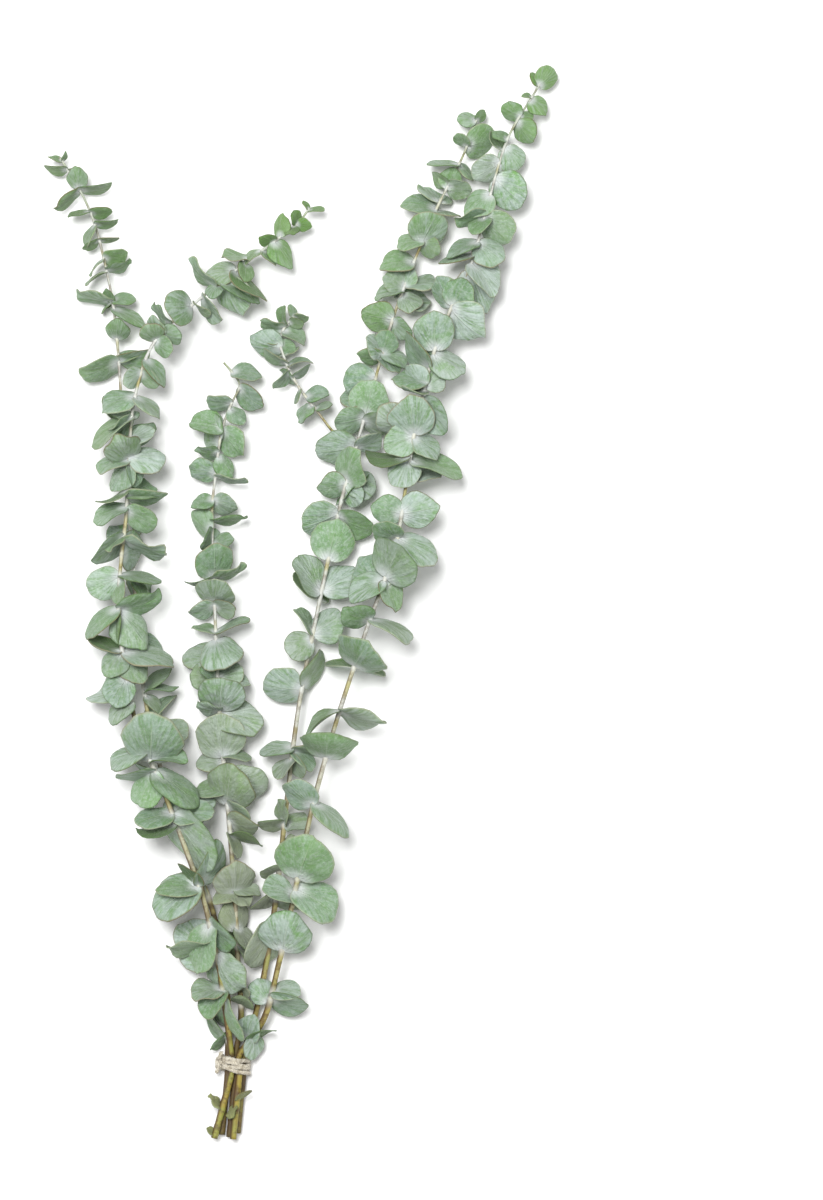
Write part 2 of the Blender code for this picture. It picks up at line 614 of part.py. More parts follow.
def rotated(leaf, pitch, twist, roll, scale, stem_direction):
    """The leaf turned by these angles about its root, and scaled."""
    directions = [leaf.along, leaf.across, leaf.normal]
    for angle, pivot in (
        (roll, leaf.along),
        (pitch, leaf.across),
        (twist, stem_direction),
    ):
        if angle:
            directions = [turned(d, pivot, math.radians(angle)) for d in directions]
    return Leaf(
        leaf.stem,
        leaf.root,
        *directions,
        leaf.length * scale,
        leaf.half_width * scale,
        leaf.curl,
        leaf.cup,
    )


def turned(vector, pivot, angle):
    """A vector turned about a unit vector (Rodrigues' formula)."""
    return (
        vector * math.cos(angle)
        + pivot.cross(vector) * math.sin(angle)
        + pivot * pivot.dot(vector) * (1 - math.cos(angle))
    )


def place_leaves(axes, tie_meshes):
    """Every leaf of the bunch, each bent clear of the ones before it."""
    stem_trees = [(stem, tree_of(tube_mesh(axis, STEM_SIDES, STEM_ROOM))) for stem, axis in axes]
    twine_trees = [tree_of(mesh) for mesh in tie_meshes]
    placed, dropped = [], 0
    for stem, axis in axes:
        random_source = random.Random(stem.seed)
        first, last, spacing = stem.hidden
        rows = range((last - first) // spacing + 1)
        entries = [(seen_leaf, entry) for entry in stem.leaves]
        entries += [(hidden_leaf, (first + spacing * i, (-1) ** i)) for i in rows]
        for rule, entry in entries:
            names = ("twist", "pitch", "roll", "length", "curl", "cup")
            draw = {name: random_source.uniform(-1, 1) for name in names}
            if rule is seen_leaf:
                leaf, direction = seen_leaf(stem, axis, entry, draw)
            else:
                leaf, direction = hidden_leaf(stem, axis, *entry, draw)
            clear = bent_clear(leaf, direction, placed, stem_trees, twine_trees, stem)
            if clear is None:
                dropped += 1
                continue
            placed.append(clear)
    print(f"{len(placed)} leaves, {dropped} left out")
    return [leaf for leaf, *_ in placed]


def bent_clear(first, direction, placed, stem_trees, twine_trees, stem):
    """The leaf in its cheapest clear bend, with what later leaves are tested against.

    It keeps clear of everything but the leaves of its own stem, which it may cross at a cost.
    """
    best, least = None, math.inf
    bent = [rotated(first, *bend, direction) for bend in BENDS]
    ways = [(look_change(first, leaf), leaf) for leaf in bent]
    for change, leaf in sorted(ways, key=itemgetter(0)):
        if change >= least:
            break
        if lowest(leaf) < -PRESSED_DEPTH:
            continue
        mesh = blade_mesh(leaf, TEST_THICKNESS, TEST_GROWTH)
        tree = tree_of(mesh)
        if any(other.name != stem.name and tree.overlap(t) for other, t in stem_trees):
            continue
        if any(tree.overlap(t) for t in twine_trees):
            continue
        centre, reach = span_of(mesh)
        crossed = []
        for old, old_tree, c, r, other in placed:
            if (centre - c).length > reach + r:
                continue
            paired = other is stem and (old.root - leaf.root).length < SAME_NODE
            if not paired and tree.overlap(old_tree):
                crossed.append(other)
        if any(other.name != stem.name for other in crossed):
            continue
        cost = change + CROSSING_COST * len(crossed)
        if cost < least:
            best, least = (leaf, tree, centre, reach, stem), cost
    return best


def merge_flats(data):
    """Merges the faces that lie in one plane, and splits the result into triangles."""
    shape = bmesh.new()
    shape.from_mesh(data)
    angle = math.radians(FLAT_ANGLE)
    bmesh.ops.dissolve_limit(shape, angle_limit=angle, verts=shape.verts, edges=shape.edges)
    bmesh.ops.triangulate(shape, faces=shape.faces)
    shape.to_mesh(data)
    shape.free()


def add_object(name, mesh):
    """An object from (points, faces) in millimetres."""
    data = bpy.data.meshes.new(name)
    data.from_pydata([p * METRES for p in mesh[0]], [], mesh[1])
    shape = bmesh.new()
    shape.from_mesh(data)
    bmesh.ops.recalc_face_normals(shape, faces=shape.faces)
    shape.to_mesh(data)
    shape.free()
    made = bpy.data.objects.new(name, data)
    bpy.context.scene.collection.objects.link(made)
    return made


def fuse(base, meshes):
    """Joins the meshes to the base object in one Boolean union."""
    pieces = bpy.data.collections.new(base.name + "_pieces")
    bpy.context.scene.collection.children.link(pieces)
    for i, mesh in enumerate(meshes):
        piece = add_object(f"{base.name}_piece_{i}", mesh)
        bpy.context.scene.collection.objects.unlink(piece)
        pieces.objects.link(piece)
    union = base.modifiers.new("union", "BOOLEAN")
    union.operation = "UNION"
    union.operand_type = "COLLECTION"
    union.collection = pieces
    union.solver = "EXACT"
    graph = bpy.context.evaluated_depsgraph_get()
    joined = bpy.data.meshes.new_from_object(base.evaluated_get(graph))
    base.modifiers.clear()
    merge_flats(joined)
    base.data = joined
    for piece in list(pieces.objects):
        bpy.data.objects.remove(piece)
    bpy.data.collections.remove(pieces)


def finish(made, colour, roughness):
    """Gives an object its own plain material."""
    material = bpy.data.materials.new(made.name)
    material.use_nodes = True
    shader = material.node_tree.nodes["Principled BSDF"]
    shader.inputs["Base Color"].default_value = (*colour, 1.0)
    shader.inputs["Roughness"].default_value = roughness
    shader.inputs["Metallic"].default_value = 0.0
    made.data.materials.clear()
    made.data.materials.append(material)


def knot_mesh():
    """(points, faces) of the knot's lump, at the left of the turns."""
    shape = bmesh.new()
    bmesh.ops.create_icosphere(shape, subdivisions=1, radius=1.0)
    x = min(x for x, _ in tie_path()) - KNOT_OUT
    centre = Vector((x, on_plan(0, TIE_CENTRE).y, (TIE_LOW_ROW + TIE_HIGH_ROW) / 2))
    points = [
        centre + Vector([v.co[i] * KNOT_SIZE[i] for i in range(3)]) for v in shape.verts
    ]
    faces = [tuple(v.index for v in f.verts) for f in shape.faces]
    shape.free()
    return points, faces


def main():
    for old in list(bpy.data.objects):
        bpy.data.objects.remove(old)
    axes = [(stem, Axis(stem)) for stem in STEMS]
    shoot_axis = axes[STEMS.index(SIDE_SHOOT)][1]
    first_turn = on_plan(0, TIE_CENTRE).y - TWINE_PITCH * (TWINE_TURNS - 1) / 2
    turns = [twine_turn(first_turn + TWINE_PITCH * i) for i in range(TWINE_TURNS)]
    knot = knot_mesh()
    leaves = place_leaves(axes, [*turns, knot])
    for stem, axis in axes:
        if stem is SIDE_SHOOT:
            continue
        leafy = add_object("leafy_stem_" + stem.name, tube_mesh(axis, STEM_SIDES))
        blades = [blade_mesh(leaf, BLADE_THICKNESS) for leaf in leaves if leaf.stem == stem.name]
        if stem.name == SIDE_SHOOT.name:
            blades.append(tube_mesh(shoot_axis, STEM_SIDES))
        fuse(leafy, blades)
        finish(leafy, (0.36, 0.47, 0.36), 0.6)
    twine = add_object("twine_tie", turns[0])
    fuse(twine, [*turns[1:], knot])
    finish(twine, (0.62, 0.53, 0.40), 0.95)


main()
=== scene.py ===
"""The looks of a tied bunch of eucalyptus that lies on a pale surface.

The places of the stems and leaves follow the same rules as the solids, in the same units.
Each leafy stem gets fine leaves and a fine stem, and the tie gets twine of three plies.
"""

import itertools
import math
import random
from dataclasses import dataclass, replace
from operator import itemgetter

import bmesh
import bpy
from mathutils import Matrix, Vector
from mathutils.bvhtree import BVHTree


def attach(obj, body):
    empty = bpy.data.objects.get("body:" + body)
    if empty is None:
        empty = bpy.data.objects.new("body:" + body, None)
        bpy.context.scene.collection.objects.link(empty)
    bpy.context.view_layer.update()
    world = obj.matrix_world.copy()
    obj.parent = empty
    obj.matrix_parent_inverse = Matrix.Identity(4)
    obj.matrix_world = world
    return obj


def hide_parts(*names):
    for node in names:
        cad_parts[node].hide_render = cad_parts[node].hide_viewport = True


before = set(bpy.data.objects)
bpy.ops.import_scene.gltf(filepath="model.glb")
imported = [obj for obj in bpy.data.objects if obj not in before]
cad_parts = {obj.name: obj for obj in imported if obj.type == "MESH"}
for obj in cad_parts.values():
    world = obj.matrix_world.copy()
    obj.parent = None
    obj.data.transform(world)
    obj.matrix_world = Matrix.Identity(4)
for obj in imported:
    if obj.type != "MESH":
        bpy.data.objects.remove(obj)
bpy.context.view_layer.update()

METRES = 0.001

# Fine leaves
FINE_THICKNESS = 0.5
SPOKES_A_SIDE = 15
RINGS = (0.22, 0.42, 0.6, 0.76, 0.89, 0.965, 1.0)
FOLD = (0.0, 0.16)
FOLD_WIDTH = 0.1
RUFFLE = (0.02, 0.085)
RUFFLE_MORE = 0.07
WAVY_SHARE = 0.3
WAVE_COUNTS = (2, 3, 3, 4, 5)
ROLL = (0.0, 0.16)
TIP_POINT = (-0.15, 0.42)
TIP_FROM = 0.45
TIP_NARROWING = 1.8
LEAF_TWIST = 0.14
LEAF_LEAN = 0.07
HUB_SHARE = 0.42
# One side of the outline, as shares of length and half width, the step along it and its inset
OUTLINE_SIDE = (
    (0.0, 0.0), (-0.045, 0.12), (-0.05, 0.3), (0.0, 0.55), (0.1, 0.8), (0.27, 0.97),
    (0.47, 1.0), (0.68, 0.89), (0.84, 0.68), (0.95, 0.38), (0.995, 0.14), (1.01, 0.0),
)
OUTLINE_STEP = 0.02
INSET = 0.02
# How soon from the root on a leaf's waves and its notches reach their full size
WAVE_GROWTH = 5
NOTCH_GROWTH = 4

# The notches of a leaf's rim: how many go round it, and how deep they are
NOTCHES = ((3, 0.03), (5, 0.022), (8, 0.014), (13, 0.008))

# Leaves shorter than the young length look young, and so do a few others by chance. The higher
# the rarity is, the fewer leaves are fresh green.
YOUNG_LENGTH = 17.0
YOUNG_SPREAD = 7.0
STRAY_YOUNG = 0.93
FRESH_RARITY = 2.2

# How dull and brown the leaves are, by height on the plan, and the stems that it shows on
DULL_HEIGHTS = ((560, 0.0), (760, 0.35), (900, 0.9))
DULL_STEMS = {"right_back": 0.9, "middle": 1.0, "left_back": 0.5}
DULL_SPREAD = 0.3

# How yellow-green the leaves are, as (height on the plan, share) of each stem that it shows on
TIP_GREEN = {
    "right_front": ((85, 1.2), (105, 0.8), (130, 0.3), (165, 0.0)),
    "left_front": ((215, 1.2), (240, 0.9), (268, 0.35), (300, 0.2), (500, 0.0)),
    "left_back": ((165, 0.7), (310, 0.45), (420, 0.15), (500, 0.0)),
    "right_back": ((120, 0.3), (160, 0.2), (320, 0.3), (345, 0.0)),
}
TIP_GREEN_SHARE = (0.6, 1.0)

# Leaves that pass under a neighbour: the stem, the tip's place, its drop and how much flatter it lies
TUCKED = (
    ("right_front", (412.3, 333.8), 0.75, 0.5),
    ("right_back", (261.5, 330.1), 0.6, 0.6),
    ("middle", (199.9, 416.3), 0.0, 0.8),
)
TUCK_REACH = 1.5

# How fine the streaks and the side veins of a leaf are
STREAKS = 7.0
VEINS = 52.0

# Fine stems
FINE_SIDES = 12
FINE_STEP = 2.5
NODE_SWELL = 0.3
NODE_WIDTH = 1.6
STEM_LUMPS = 0.05
LUMP_RATE = 0.11
SEED_STEP = 1000
SEED_RANGE = 97

# Which way the side of the stems with painted shade faces: it is darkened dark brown as though turned
# from the light
SHADED_FLANK = Vector((-0.95, -0.3, 0.0))

# Painted shade on the back stems below the tie, a dark gap between the front stems: how dark it is, full
# from the second height on the plan down
FOOT_SHADE = {"left_back": 0.8, "middle": 0.85, "right_back": 0.6}
SHADE_HEIGHTS = ((1000, 0.0), (1055, 1.0))

# Scars of lost leaves below the tie, as heights on the plan
SCARS = {"right_front": (1098, 1113, 1127), "left_front": (1132,)}
SCAR_WIDTH = 0.7

# Fine twine
PLIES = 3
PLY_OFFSET = 0.72
PLY_RADIUS = 0.8
PLY_PITCH = 7.5
PLY_SIDES = 8
PLY_LUMPS = 0.14
PLY_LUMP_RATE = 0.9
PLY_PHASE = 1.3
STRANDS = 4
STRAND_RELIEF = 0.05
STRAND_RATE = 1.6
FIBRES = 1100
FIBRE_RADIUS = 0.07
FIBRE_REACH = (0.8, 3.0)
FIBRE_SPANS = 3
PATH_STEP = 1.5
TURN_SAMPLES = 44

# How the twine is wound: its start below the first turn, the share of the pitch that it climbs,
# its fall from left to right, and its wander as waves of (size, rate, start)
LINE_DROP = 0.7
WINDING = 0.9
TWINE_SLOPE = 0.16
WANDER = ((0.5, 0.21, 0.0), (0.3, 0.53, 1.0))

# The knot: its trefoil's points and size, the step along its two ends, and their routes
LOOP_POINTS = 60
LOOP_SIZE = 1.15
END_STEP = 0.8
KNOT_ENDS = (
    ((0.5, 2.5, 2), (0.6, 4.6, 3.0), (1.6, 6.8, 3.4), (1.4, 8.2, 3.2)),
    ((0.5, -2.5, 1), (-1.2, -4.5, 1.6), (-1.6, -6.4, 1.0)),
)

# The photo's frame, and how far above the surface the camera hangs
PICTURE_SIZE = (823, 1200)
CAMERA_HEIGHT = 2.4
AIM_HEIGHT = 0.03

# The stage: the pale surface, and the lights as name, place, size and power
SQUARE = ((-1, -1), (1, -1), (1, 1), (-1, 1))
SURFACE_HALF = 4.0
SURFACE_DROP = 0.0002
LIGHTS = (
    ("key_light", (-0.35, 0.6, 2.6), 0.9, 80),
    ("fill_light", (1.4, -0.7, 2.2), 2.0, 6),
)
SKY_STRENGTH = 0.5

# Stems and leaves are laid out on a plan seen from above. One unit of it is this many
# millimetres. Its x runs right, and its y runs down from the tips to the cut ends.
PLAN_UNIT = 0.68
PLAN_CENTRE = (299.5, 603.5)

# Stems
BUTT_RADIUS = 2.4
TIP_RADIUS = 0.7
SHOOT_RADIUS = 1.1
TAPER_POWER = 0.8
STEM_SIDES = 4
RING_STEP = 30.0
SPAN_SAMPLES = 12

# Leaves
LARGE_LEAF = 37.0
ROOT_DEPTH = 0.5
LEAST_LENGTH = 0.62
HIDDEN_TWIST = 42.0
HIDDEN_PITCH = 62.0
PITCH_SPREAD = 18.0
LYING = 0.6
LYING_SPREAD = 0.3
LENGTH_SPREAD = 0.09
CURL = 22.0
CURL_SPREAD = 18.0
CUP = 0.08
CUP_SPREAD = 0.08
# A leaf that shows this share of its face or more arches up from above
ARCHED_FACE = 0.75

# Room that a leaf keeps from other leaves, stems and the twine
TEST_THICKNESS = 1.5
TEST_GROWTH = 1.04
STEM_ROOM = 0.7
PRESSED_DEPTH = 9.0
SAME_NODE = 4.0

# Twine
TWINE_RADIUS = 1.6
TWINE_SIDES = 6
TWINE_TURNS = 4
TWINE_PITCH = 2.7
TWINE_GAP = 0.45
CORNER_STEPS = 2
KNOT_SIZE = (3.8, 5.6, 4.6)
KNOT_OUT = 2.3

# The stems lie under the twine in two rows, at these heights
TIE_STEM_RADIUS = 2.2
TWINE_SQUASH = 0.2
TWINE_FLAT = TWINE_RADIUS * math.cos(math.pi / TWINE_SIDES)
TIE_LOW_ROW = TIE_STEM_RADIUS + TWINE_GAP + TWINE_RADIUS + TWINE_FLAT - TWINE_SQUASH
ROW_STEP = 4.7
TIE_HIGH_ROW = TIE_LOW_ROW + ROW_STEP
TIE_TOP = 1058.5
TIE_FOOT = 1076.5
TIE_CENTRE = (TIE_TOP + TIE_FOOT) / 2
TIE_LOW_X = (226.0, 233.9, 241.9)
TIE_HIGH_X = (229.9, 237.9)


@dataclass(frozen=True)
class Stem:
    """A stem on the plan, and the leaves that grow from it."""

    name: str
    route: tuple  # (x, y, height of its centre line in millimetres), from the cut end
    lengths: tuple  # (y, leaf length in millimetres), joined by straight lines
    breadth: float  # a leaf's width over its length
    leaves: tuple  # (y of the root, x and y of the tip, share of the face seen from above).
    # Under 1 it gives the length too. Below 0 the leaf falls instead of rising.
    hidden: tuple  # (first y, last y, spacing) of the leaves on the side of the surface
    seed: int
    butt_radius: float = BUTT_RADIUS


@dataclass(frozen=True)
class Leaf:
    """One leaf: its root, its directions when flat, and how it bends."""

    stem: str
    root: Vector
    along: Vector
    across: Vector
    normal: Vector
    length: float
    half_width: float
    curl: float
    cup: float


RIGHT_FRONT = Stem(
    "right_front",
    route=(
        (231.6, 1143.5, 9.4), (TIE_HIGH_X[1], TIE_FOOT, TIE_HIGH_ROW),
        (TIE_HIGH_X[1], TIE_TOP, TIE_HIGH_ROW), (263.5, 1020, 16), (278.5, 964, 22),
        (292, 905, 28), (313, 805, 35), (340, 710, 37), (370, 620, 37), (397, 540, 37),
        (413, 440, 36), (437, 343, 34), (472, 261, 30), (490, 196, 25), (508, 137, 20),
        (534, 92, 16), (543, 76, 14),
    ),
    lengths=(
        (76, 11), (110, 14), (140, 19), (200, 25), (270, 28), (400, 30), (440, 32),
        (560, 38), (880, 38), (960, 33), (1050, 26), (1090, 10),
    ),
    breadth=1.08,
    leaves=(
        (82, 557, 67, 0.9), (82, 533, 69, 0.6), (95, 523, 91, 0.5), (97, 549, 110, 0.9),
        (114, 532, 108, 0.8), (114, 502, 106, 0.8), (120, 531, 141, 0.8), (138, 495, 127, 0.7),
        (146, 520, 168, 0.99), (162, 475, 181, 0.8), (178, 522, 205, 0.95), (194, 464, 212, 0.8),
        (214, 456, 223, 0.4), (218, 508, 243, 0.85), (218, 474, 234, 0.7), (242, 446, 254, 0.5),
        (243, 505, 261, 0.85), (256, 439, 259, 0.35), (263, 500, 292, 0.7), (270, 494, 312, 0.8),
        (306, 436, 279, 0.8), (306, 466, 276, 0.85), (310, 478, 344, 0.8), (350, 434, 314, 1.0),
        (347, 413, 334, 0.7), (354, 464, 374, 0.75), (387, 405, 368, 0.8), (387, 443, 367, 0.95),
        (382, 392, 375, 0.5), (392, 402, 398, 0.4), (402, 445, 434, 0.7), (435, 411, 404, 1.0),
        (432, 377, 415, 0.75), (438, 384, 449, 0.7), (438, 443, 452, 0.8), (462, 464, 468, 0.35),
        (461, 396, 484, 0.95), (457, 365, 468, 0.35), (514, 371, 508, 0.95), (514, 438, 508, 0.95),
        (538, 377, 531, 0.55), (538, 436, 562, 0.6), (577, 398, 547, 1.0), (581, 347, 592, 0.6),
        (581, 397, 611, 0.65), (620, 346, 617, 0.65), (619, 417, 628, 0.15), (666, 362, 653, 1.0),
        (668, 352, 678, -1.0), (711, 303, 728, 0.15), (711, 382, 732, 0.25), (757, 329, 739, 1.0),
        (803, 358, 824, 0.2), (805, 287, 783, 0.8), (878, 309, 847, 1.0), (889, 338, 911, 0.65),
        (895, 266, 884, 0.6), (951, 289, 918, 1.0), (1000, 305, 1014, 0.6), (992, 298, 988, 0.5),
        (1004, 258, 980, 0.95), (1044, 249, 1016, 0.55), (1038, 254, 1063, 0.7),
        (1045, 270, 1024, 0.35), (1104, 246, 1089, 0.35), (1110, 222, 1125, 0.35),
    ),
    hidden=(150, 620, 110),
    seed=11,
)

LEFT_FRONT = Stem(
    "left_front",
    route=(
        (212.6, 1142.5, 9.6), (TIE_HIGH_X[0], TIE_FOOT, TIE_HIGH_ROW),
        (TIE_HIGH_X[0], TIE_TOP, TIE_HIGH_ROW), (225.5, 1020, 17), (216.5, 959, 25),
        (203.5, 899, 32), (167.5, 799, 37), (134.5, 714, 38), (119.5, 609, 38), (126.5, 520, 37),
        (133.5, 409, 36), (145.5, 361, 34), (161.6, 333, 31), (214.5, 286, 25), (269.5, 243, 20),
        (296, 222, 17), (309, 206, 16),
    ),
    lengths=(
        (206, 9), (220, 17), (240, 22), (300, 26), (520, 27), (610, 30), (720, 38), (760, 41),
        (1050, 38), (1090, 9),
    ),
    breadth=0.98,
    leaves=(
        (207, 304, 198, 0.6), (208, 324, 206, 0.4), (222, 311, 225, 0.9), (221, 296, 212, 0.7),
        (225, 289, 231, 0.8), (235, 279, 212, 0.75), (240, 295, 264, 0.75), (240, 261, 241, 0.5),
        (249, 279, 260, 0.5), (250, 239, 259, 0.42), (259, 221, 254, 0.35), (262, 247, 279, 0.7),
        (270, 203, 271, 0.8), (284, 210, 296, 0.95), (286, 184, 264, 0.2), (280, 264, 290, 0.4),
        (278, 238, 317, 0.8), (270, 262, 305, 0.35), (297, 221, 324, 0.45), (303, 206, 321, 0.1),
        (306, 172, 310, 1.0), (325, 152, 305, 0.35), (335, 151, 320, 0.7), (333, 179, 340, 0.8),
        (340, 149, 334, 0.8), (342, 170, 354, 0.9), (360, 168, 384, 0.45), (374, 127, 386, 0.85),
        (374, 158, 388, 0.7), (398, 99, 402, 0.6), (398, 163, 416, 0.4), (418, 114, 437, 0.5),
        (418, 93, 447, 0.35), (440, 155, 430, 0.7), (459, 121, 441, 1.0), (456, 167, 455, 0.8),
        (460, 96, 463, 0.45), (464, 112, 490, 0.8), (464, 141, 486, 0.5), (497, 167, 503, 0.4),
        (490, 102, 512, 0.45), (496, 157, 491, 0.3), (507, 93, 517, 0.45), (511, 155, 529, 0.7),
        (537, 96, 565, 0.45), (541, 166, 560, 0.25), (536, 108, 548, 0.4), (577, 90, 592, 0.99),
        (580, 117, 605, 0.7), (575, 163, 573, 0.2), (609, 81, 629, 0.4), (609, 165, 606, 0.4),
        (613, 151, 644, 0.85), (614, 112, 643, 0.35), (651, 86, 646, 0.25), (652, 178, 651, 0.4),
        (652, 108, 674, 0.95), (655, 148, 680, 0.9), (678, 113, 702, 0.6), (701, 110, 718, 0.65),
        (760, 155, 724, 1.0), (750, 109, 759, 0.4), (760, 186, 750, 0.3), (771, 119, 780, 0.35),
        (770, 139, 805, 0.85), (772, 203, 801, 0.45), (812, 138, 818, 0.5), (822, 140, 842, 0.4),
        (816, 210, 869, 0.95), (814, 214, 807, 0.6), (884, 230, 847, 0.4), (884, 152, 908, 0.7),
        (884, 184, 858, 0.6), (887, 158, 882, 0.45), (926, 195, 972, 0.65), (944, 169, 955, 0.35),
        (924, 230, 946, 0.7), (956, 231, 998, 0.8), (992, 204, 1012, 0.6), (990, 194, 989, 0.45),
        (1002, 230, 1046, 0.45), (1112, 210, 1098, 0.3), (1139, 207, 1132, 0.6),
    ),
    hidden=(420, 960, 135),
    seed=23,
)

RIGHT_BACK = Stem(
    "right_back",
    route=(
        (235.5, 1138.5, 4.6), (TIE_LOW_X[2], TIE_FOOT, TIE_LOW_ROW),
        (TIE_LOW_X[2], TIE_TOP, TIE_LOW_ROW), (253.5, 1020, 8), (265.5, 964, 12),
        (274.5, 905, 16), (286.5, 799, 18), (298.5, 705, 18), (317.5, 609, 18), (341.5, 499, 18),
        (369.5, 399, 18), (395.5, 309, 17), (434.5, 211, 16), (462.4, 155, 15), (475.5, 120, 14),
        (481, 108, 13),
    ),
    lengths=(
        (108, 13), (130, 19), (200, 25), (300, 27), (480, 28), (560, 31), (700, 31), (820, 27),
        (1000, 27),
    ),
    breadth=1.1,
    leaves=(
        (118, 458, 111, 0.8), (117, 486, 108, 0.7), (143, 502, 136, 0.75), (143, 457, 134, 0.5),
        (162, 428, 161, 0.3), (163, 480, 171, 0.5), (182, 431, 174, 0.5), (184, 471, 190, 0.7),
        (186, 456, 166, 0.99), (207, 403, 196, 0.55), (209, 461, 212, 0.25), (240, 436, 218, 1.0),
        (238, 396, 241, 0.6), (240, 436, 254, 0.9), (261, 379, 257, 0.6), (284, 386, 275, 0.8),
        (284, 437, 272, 0.5), (286, 406, 263, 0.95), (289, 374, 291, 0.4), (294, 418, 304, 0.9),
        (318, 361, 313, 0.85), (320, 409, 338, 0.7), (351, 369, 338, 0.8), (352, 389, 330, 0.95),
        (352, 410, 359, 0.5), (354, 358, 361, 0.5), (356, 399, 367, 0.6), (378, 343, 385, 0.99),
        (415, 374, 380, 1.0), (417, 335, 426, 0.75), (420, 396, 432, 0.5), (446, 382, 437, 0.5),
        (446, 316, 458, 0.75), (481, 350, 451, 1.0), (483, 376, 481, 0.85), (484, 318, 491, 0.85),
        (487, 360, 502, 0.85), (514, 304, 532, 0.75), (516, 370, 538, 0.6), (559, 337, 521, 1.0),
        (592, 297, 556, 0.65), (590, 358, 567, 0.6), (632, 299, 607, 0.3), (633, 341, 612, 0.9),
        (640, 288, 652, 0.99), (686, 331, 658, 0.45), (690, 262, 690, 0.85), (748, 259, 751, 0.4),
        (750, 314, 769, 0.5), (751, 327, 754, 0.3), (760, 277, 779, 0.5), (760, 303, 774, 0.6),
        (825, 258, 830, 0.5), (825, 281, 801, 0.4), (826, 307, 818, 0.6), (852, 297, 840, 0.6),
        (872, 267, 872, 0.4), (898, 254, 916, 0.45), (900, 304, 911, 0.5), (928, 258, 974, 0.55),
    ),
    hidden=(200, 630, 100),
    seed=37,
)

SIDE_SHOOT = Stem(
    "right_back",
    route=(
        (357, 446, 18), (335, 433, 18), (318, 412, 17), (301, 390, 16), (290, 372, 15),
        (283, 355, 14), (279, 340, 14), (284, 325, 14), (297, 311, 15),
    ),
    lengths=((311, 9), (335, 15), (446, 15)),
    breadth=1.0,
    leaves=(
        (404, 294, 417, 0.6), (408, 331, 402, 0.45), (396, 328, 389, 0.7), (388, 294, 403, 0.25),
        (376, 312, 367, 0.25), (371, 275, 389, 0.35), (364, 312, 358, 0.35), (362, 262, 350, 0.3),
        (346, 248, 341, 0.85), (340, 262, 330, 0.5), (342, 294, 350, 0.95), (329, 307, 337, 0.6),
        (326, 258, 326, 0.4), (324, 277, 305, 0.4), (320, 303, 324, 0.6), (315, 292, 302, 0.7),
        (315, 308, 318, 0.6),
    ),
    hidden=(330, 400, 24),
    seed=67,
    butt_radius=SHOOT_RADIUS,
)

MIDDLE = Stem(
    "middle",
    route=(
        (227.4, 1142.5, 4.6), (TIE_LOW_X[1], TIE_FOOT, TIE_LOW_ROW),
        (TIE_LOW_X[1], TIE_TOP, TIE_LOW_ROW), (239.5, 1020, 8), (236.5, 964, 12),
        (233.5, 899, 15), (228.5, 830, 16), (217.5, 699, 16), (212.5, 574, 16), (210.5, 515, 15),
        (220.5, 430, 15), (230.5, 402, 15), (238.5, 384, 14), (231, 371, 14), (222.4, 361, 14),
    ),
    lengths=(
        (361, 9), (390, 18), (430, 22), (577, 27), (710, 31), (806, 33), (896, 27), (1000, 25),
    ),
    breadth=1.05,
    leaves=(
        (371, 260, 371, 0.6), (386, 257, 411, 0.6), (402, 205, 406, 0.5), (408, 245, 421, 0.8),
        (426, 189, 420, 0.72), (430, 240, 455, 0.75), (452, 194, 455, 0.5), (472, 188, 470, 0.85),
        (456, 233, 475, 0.85), (476, 246, 484, 0.12), (499, 190, 505, 0.7), (500, 234, 512, 0.85),
        (530, 183, 516, 0.75), (520, 247, 521, 0.15), (534, 206, 546, 0.3), (544, 232, 538, 0.7),
        (577, 216, 545, 1.0), (578, 186, 590, 0.15), (578, 248, 575, 0.15), (603, 217, 587, 1.0),
        (606, 189, 618, 0.6), (606, 234, 611, 0.7), (632, 193, 622, 0.5), (632, 245, 613, 0.15),
        (640, 221, 658, 1.0), (680, 192, 672, 0.8), (679, 241, 668, 0.8), (679, 206, 667, 0.5),
        (682, 250, 677, 0.45), (710, 222, 686, 1.0), (712, 197, 707, 0.5), (715, 261, 727, 0.7),
        (757, 218, 720, 1.0), (756, 250, 753, 0.3), (764, 196, 758, 0.7), (806, 227, 766, 1.0),
        (786, 267, 792, 0.85), (790, 194, 789, 0.5), (808, 247, 821, 0.6), (824, 261, 831, 0.45),
        (838, 262, 843, 0.12), (836, 240, 856, 0.6), (896, 237, 867, 1.0), (890, 259, 892, 0.4),
        (895, 251, 899, 0.4), (893, 214, 900, 0.5), (932, 235, 900, 1.0), (930, 254, 951, 0.5),
        (948, 253, 966, 0.15), (988, 248, 991, 0.4), (1008, 246, 998, 0.5),
    ),
    hidden=(440, 760, 110),
    seed=41,
)

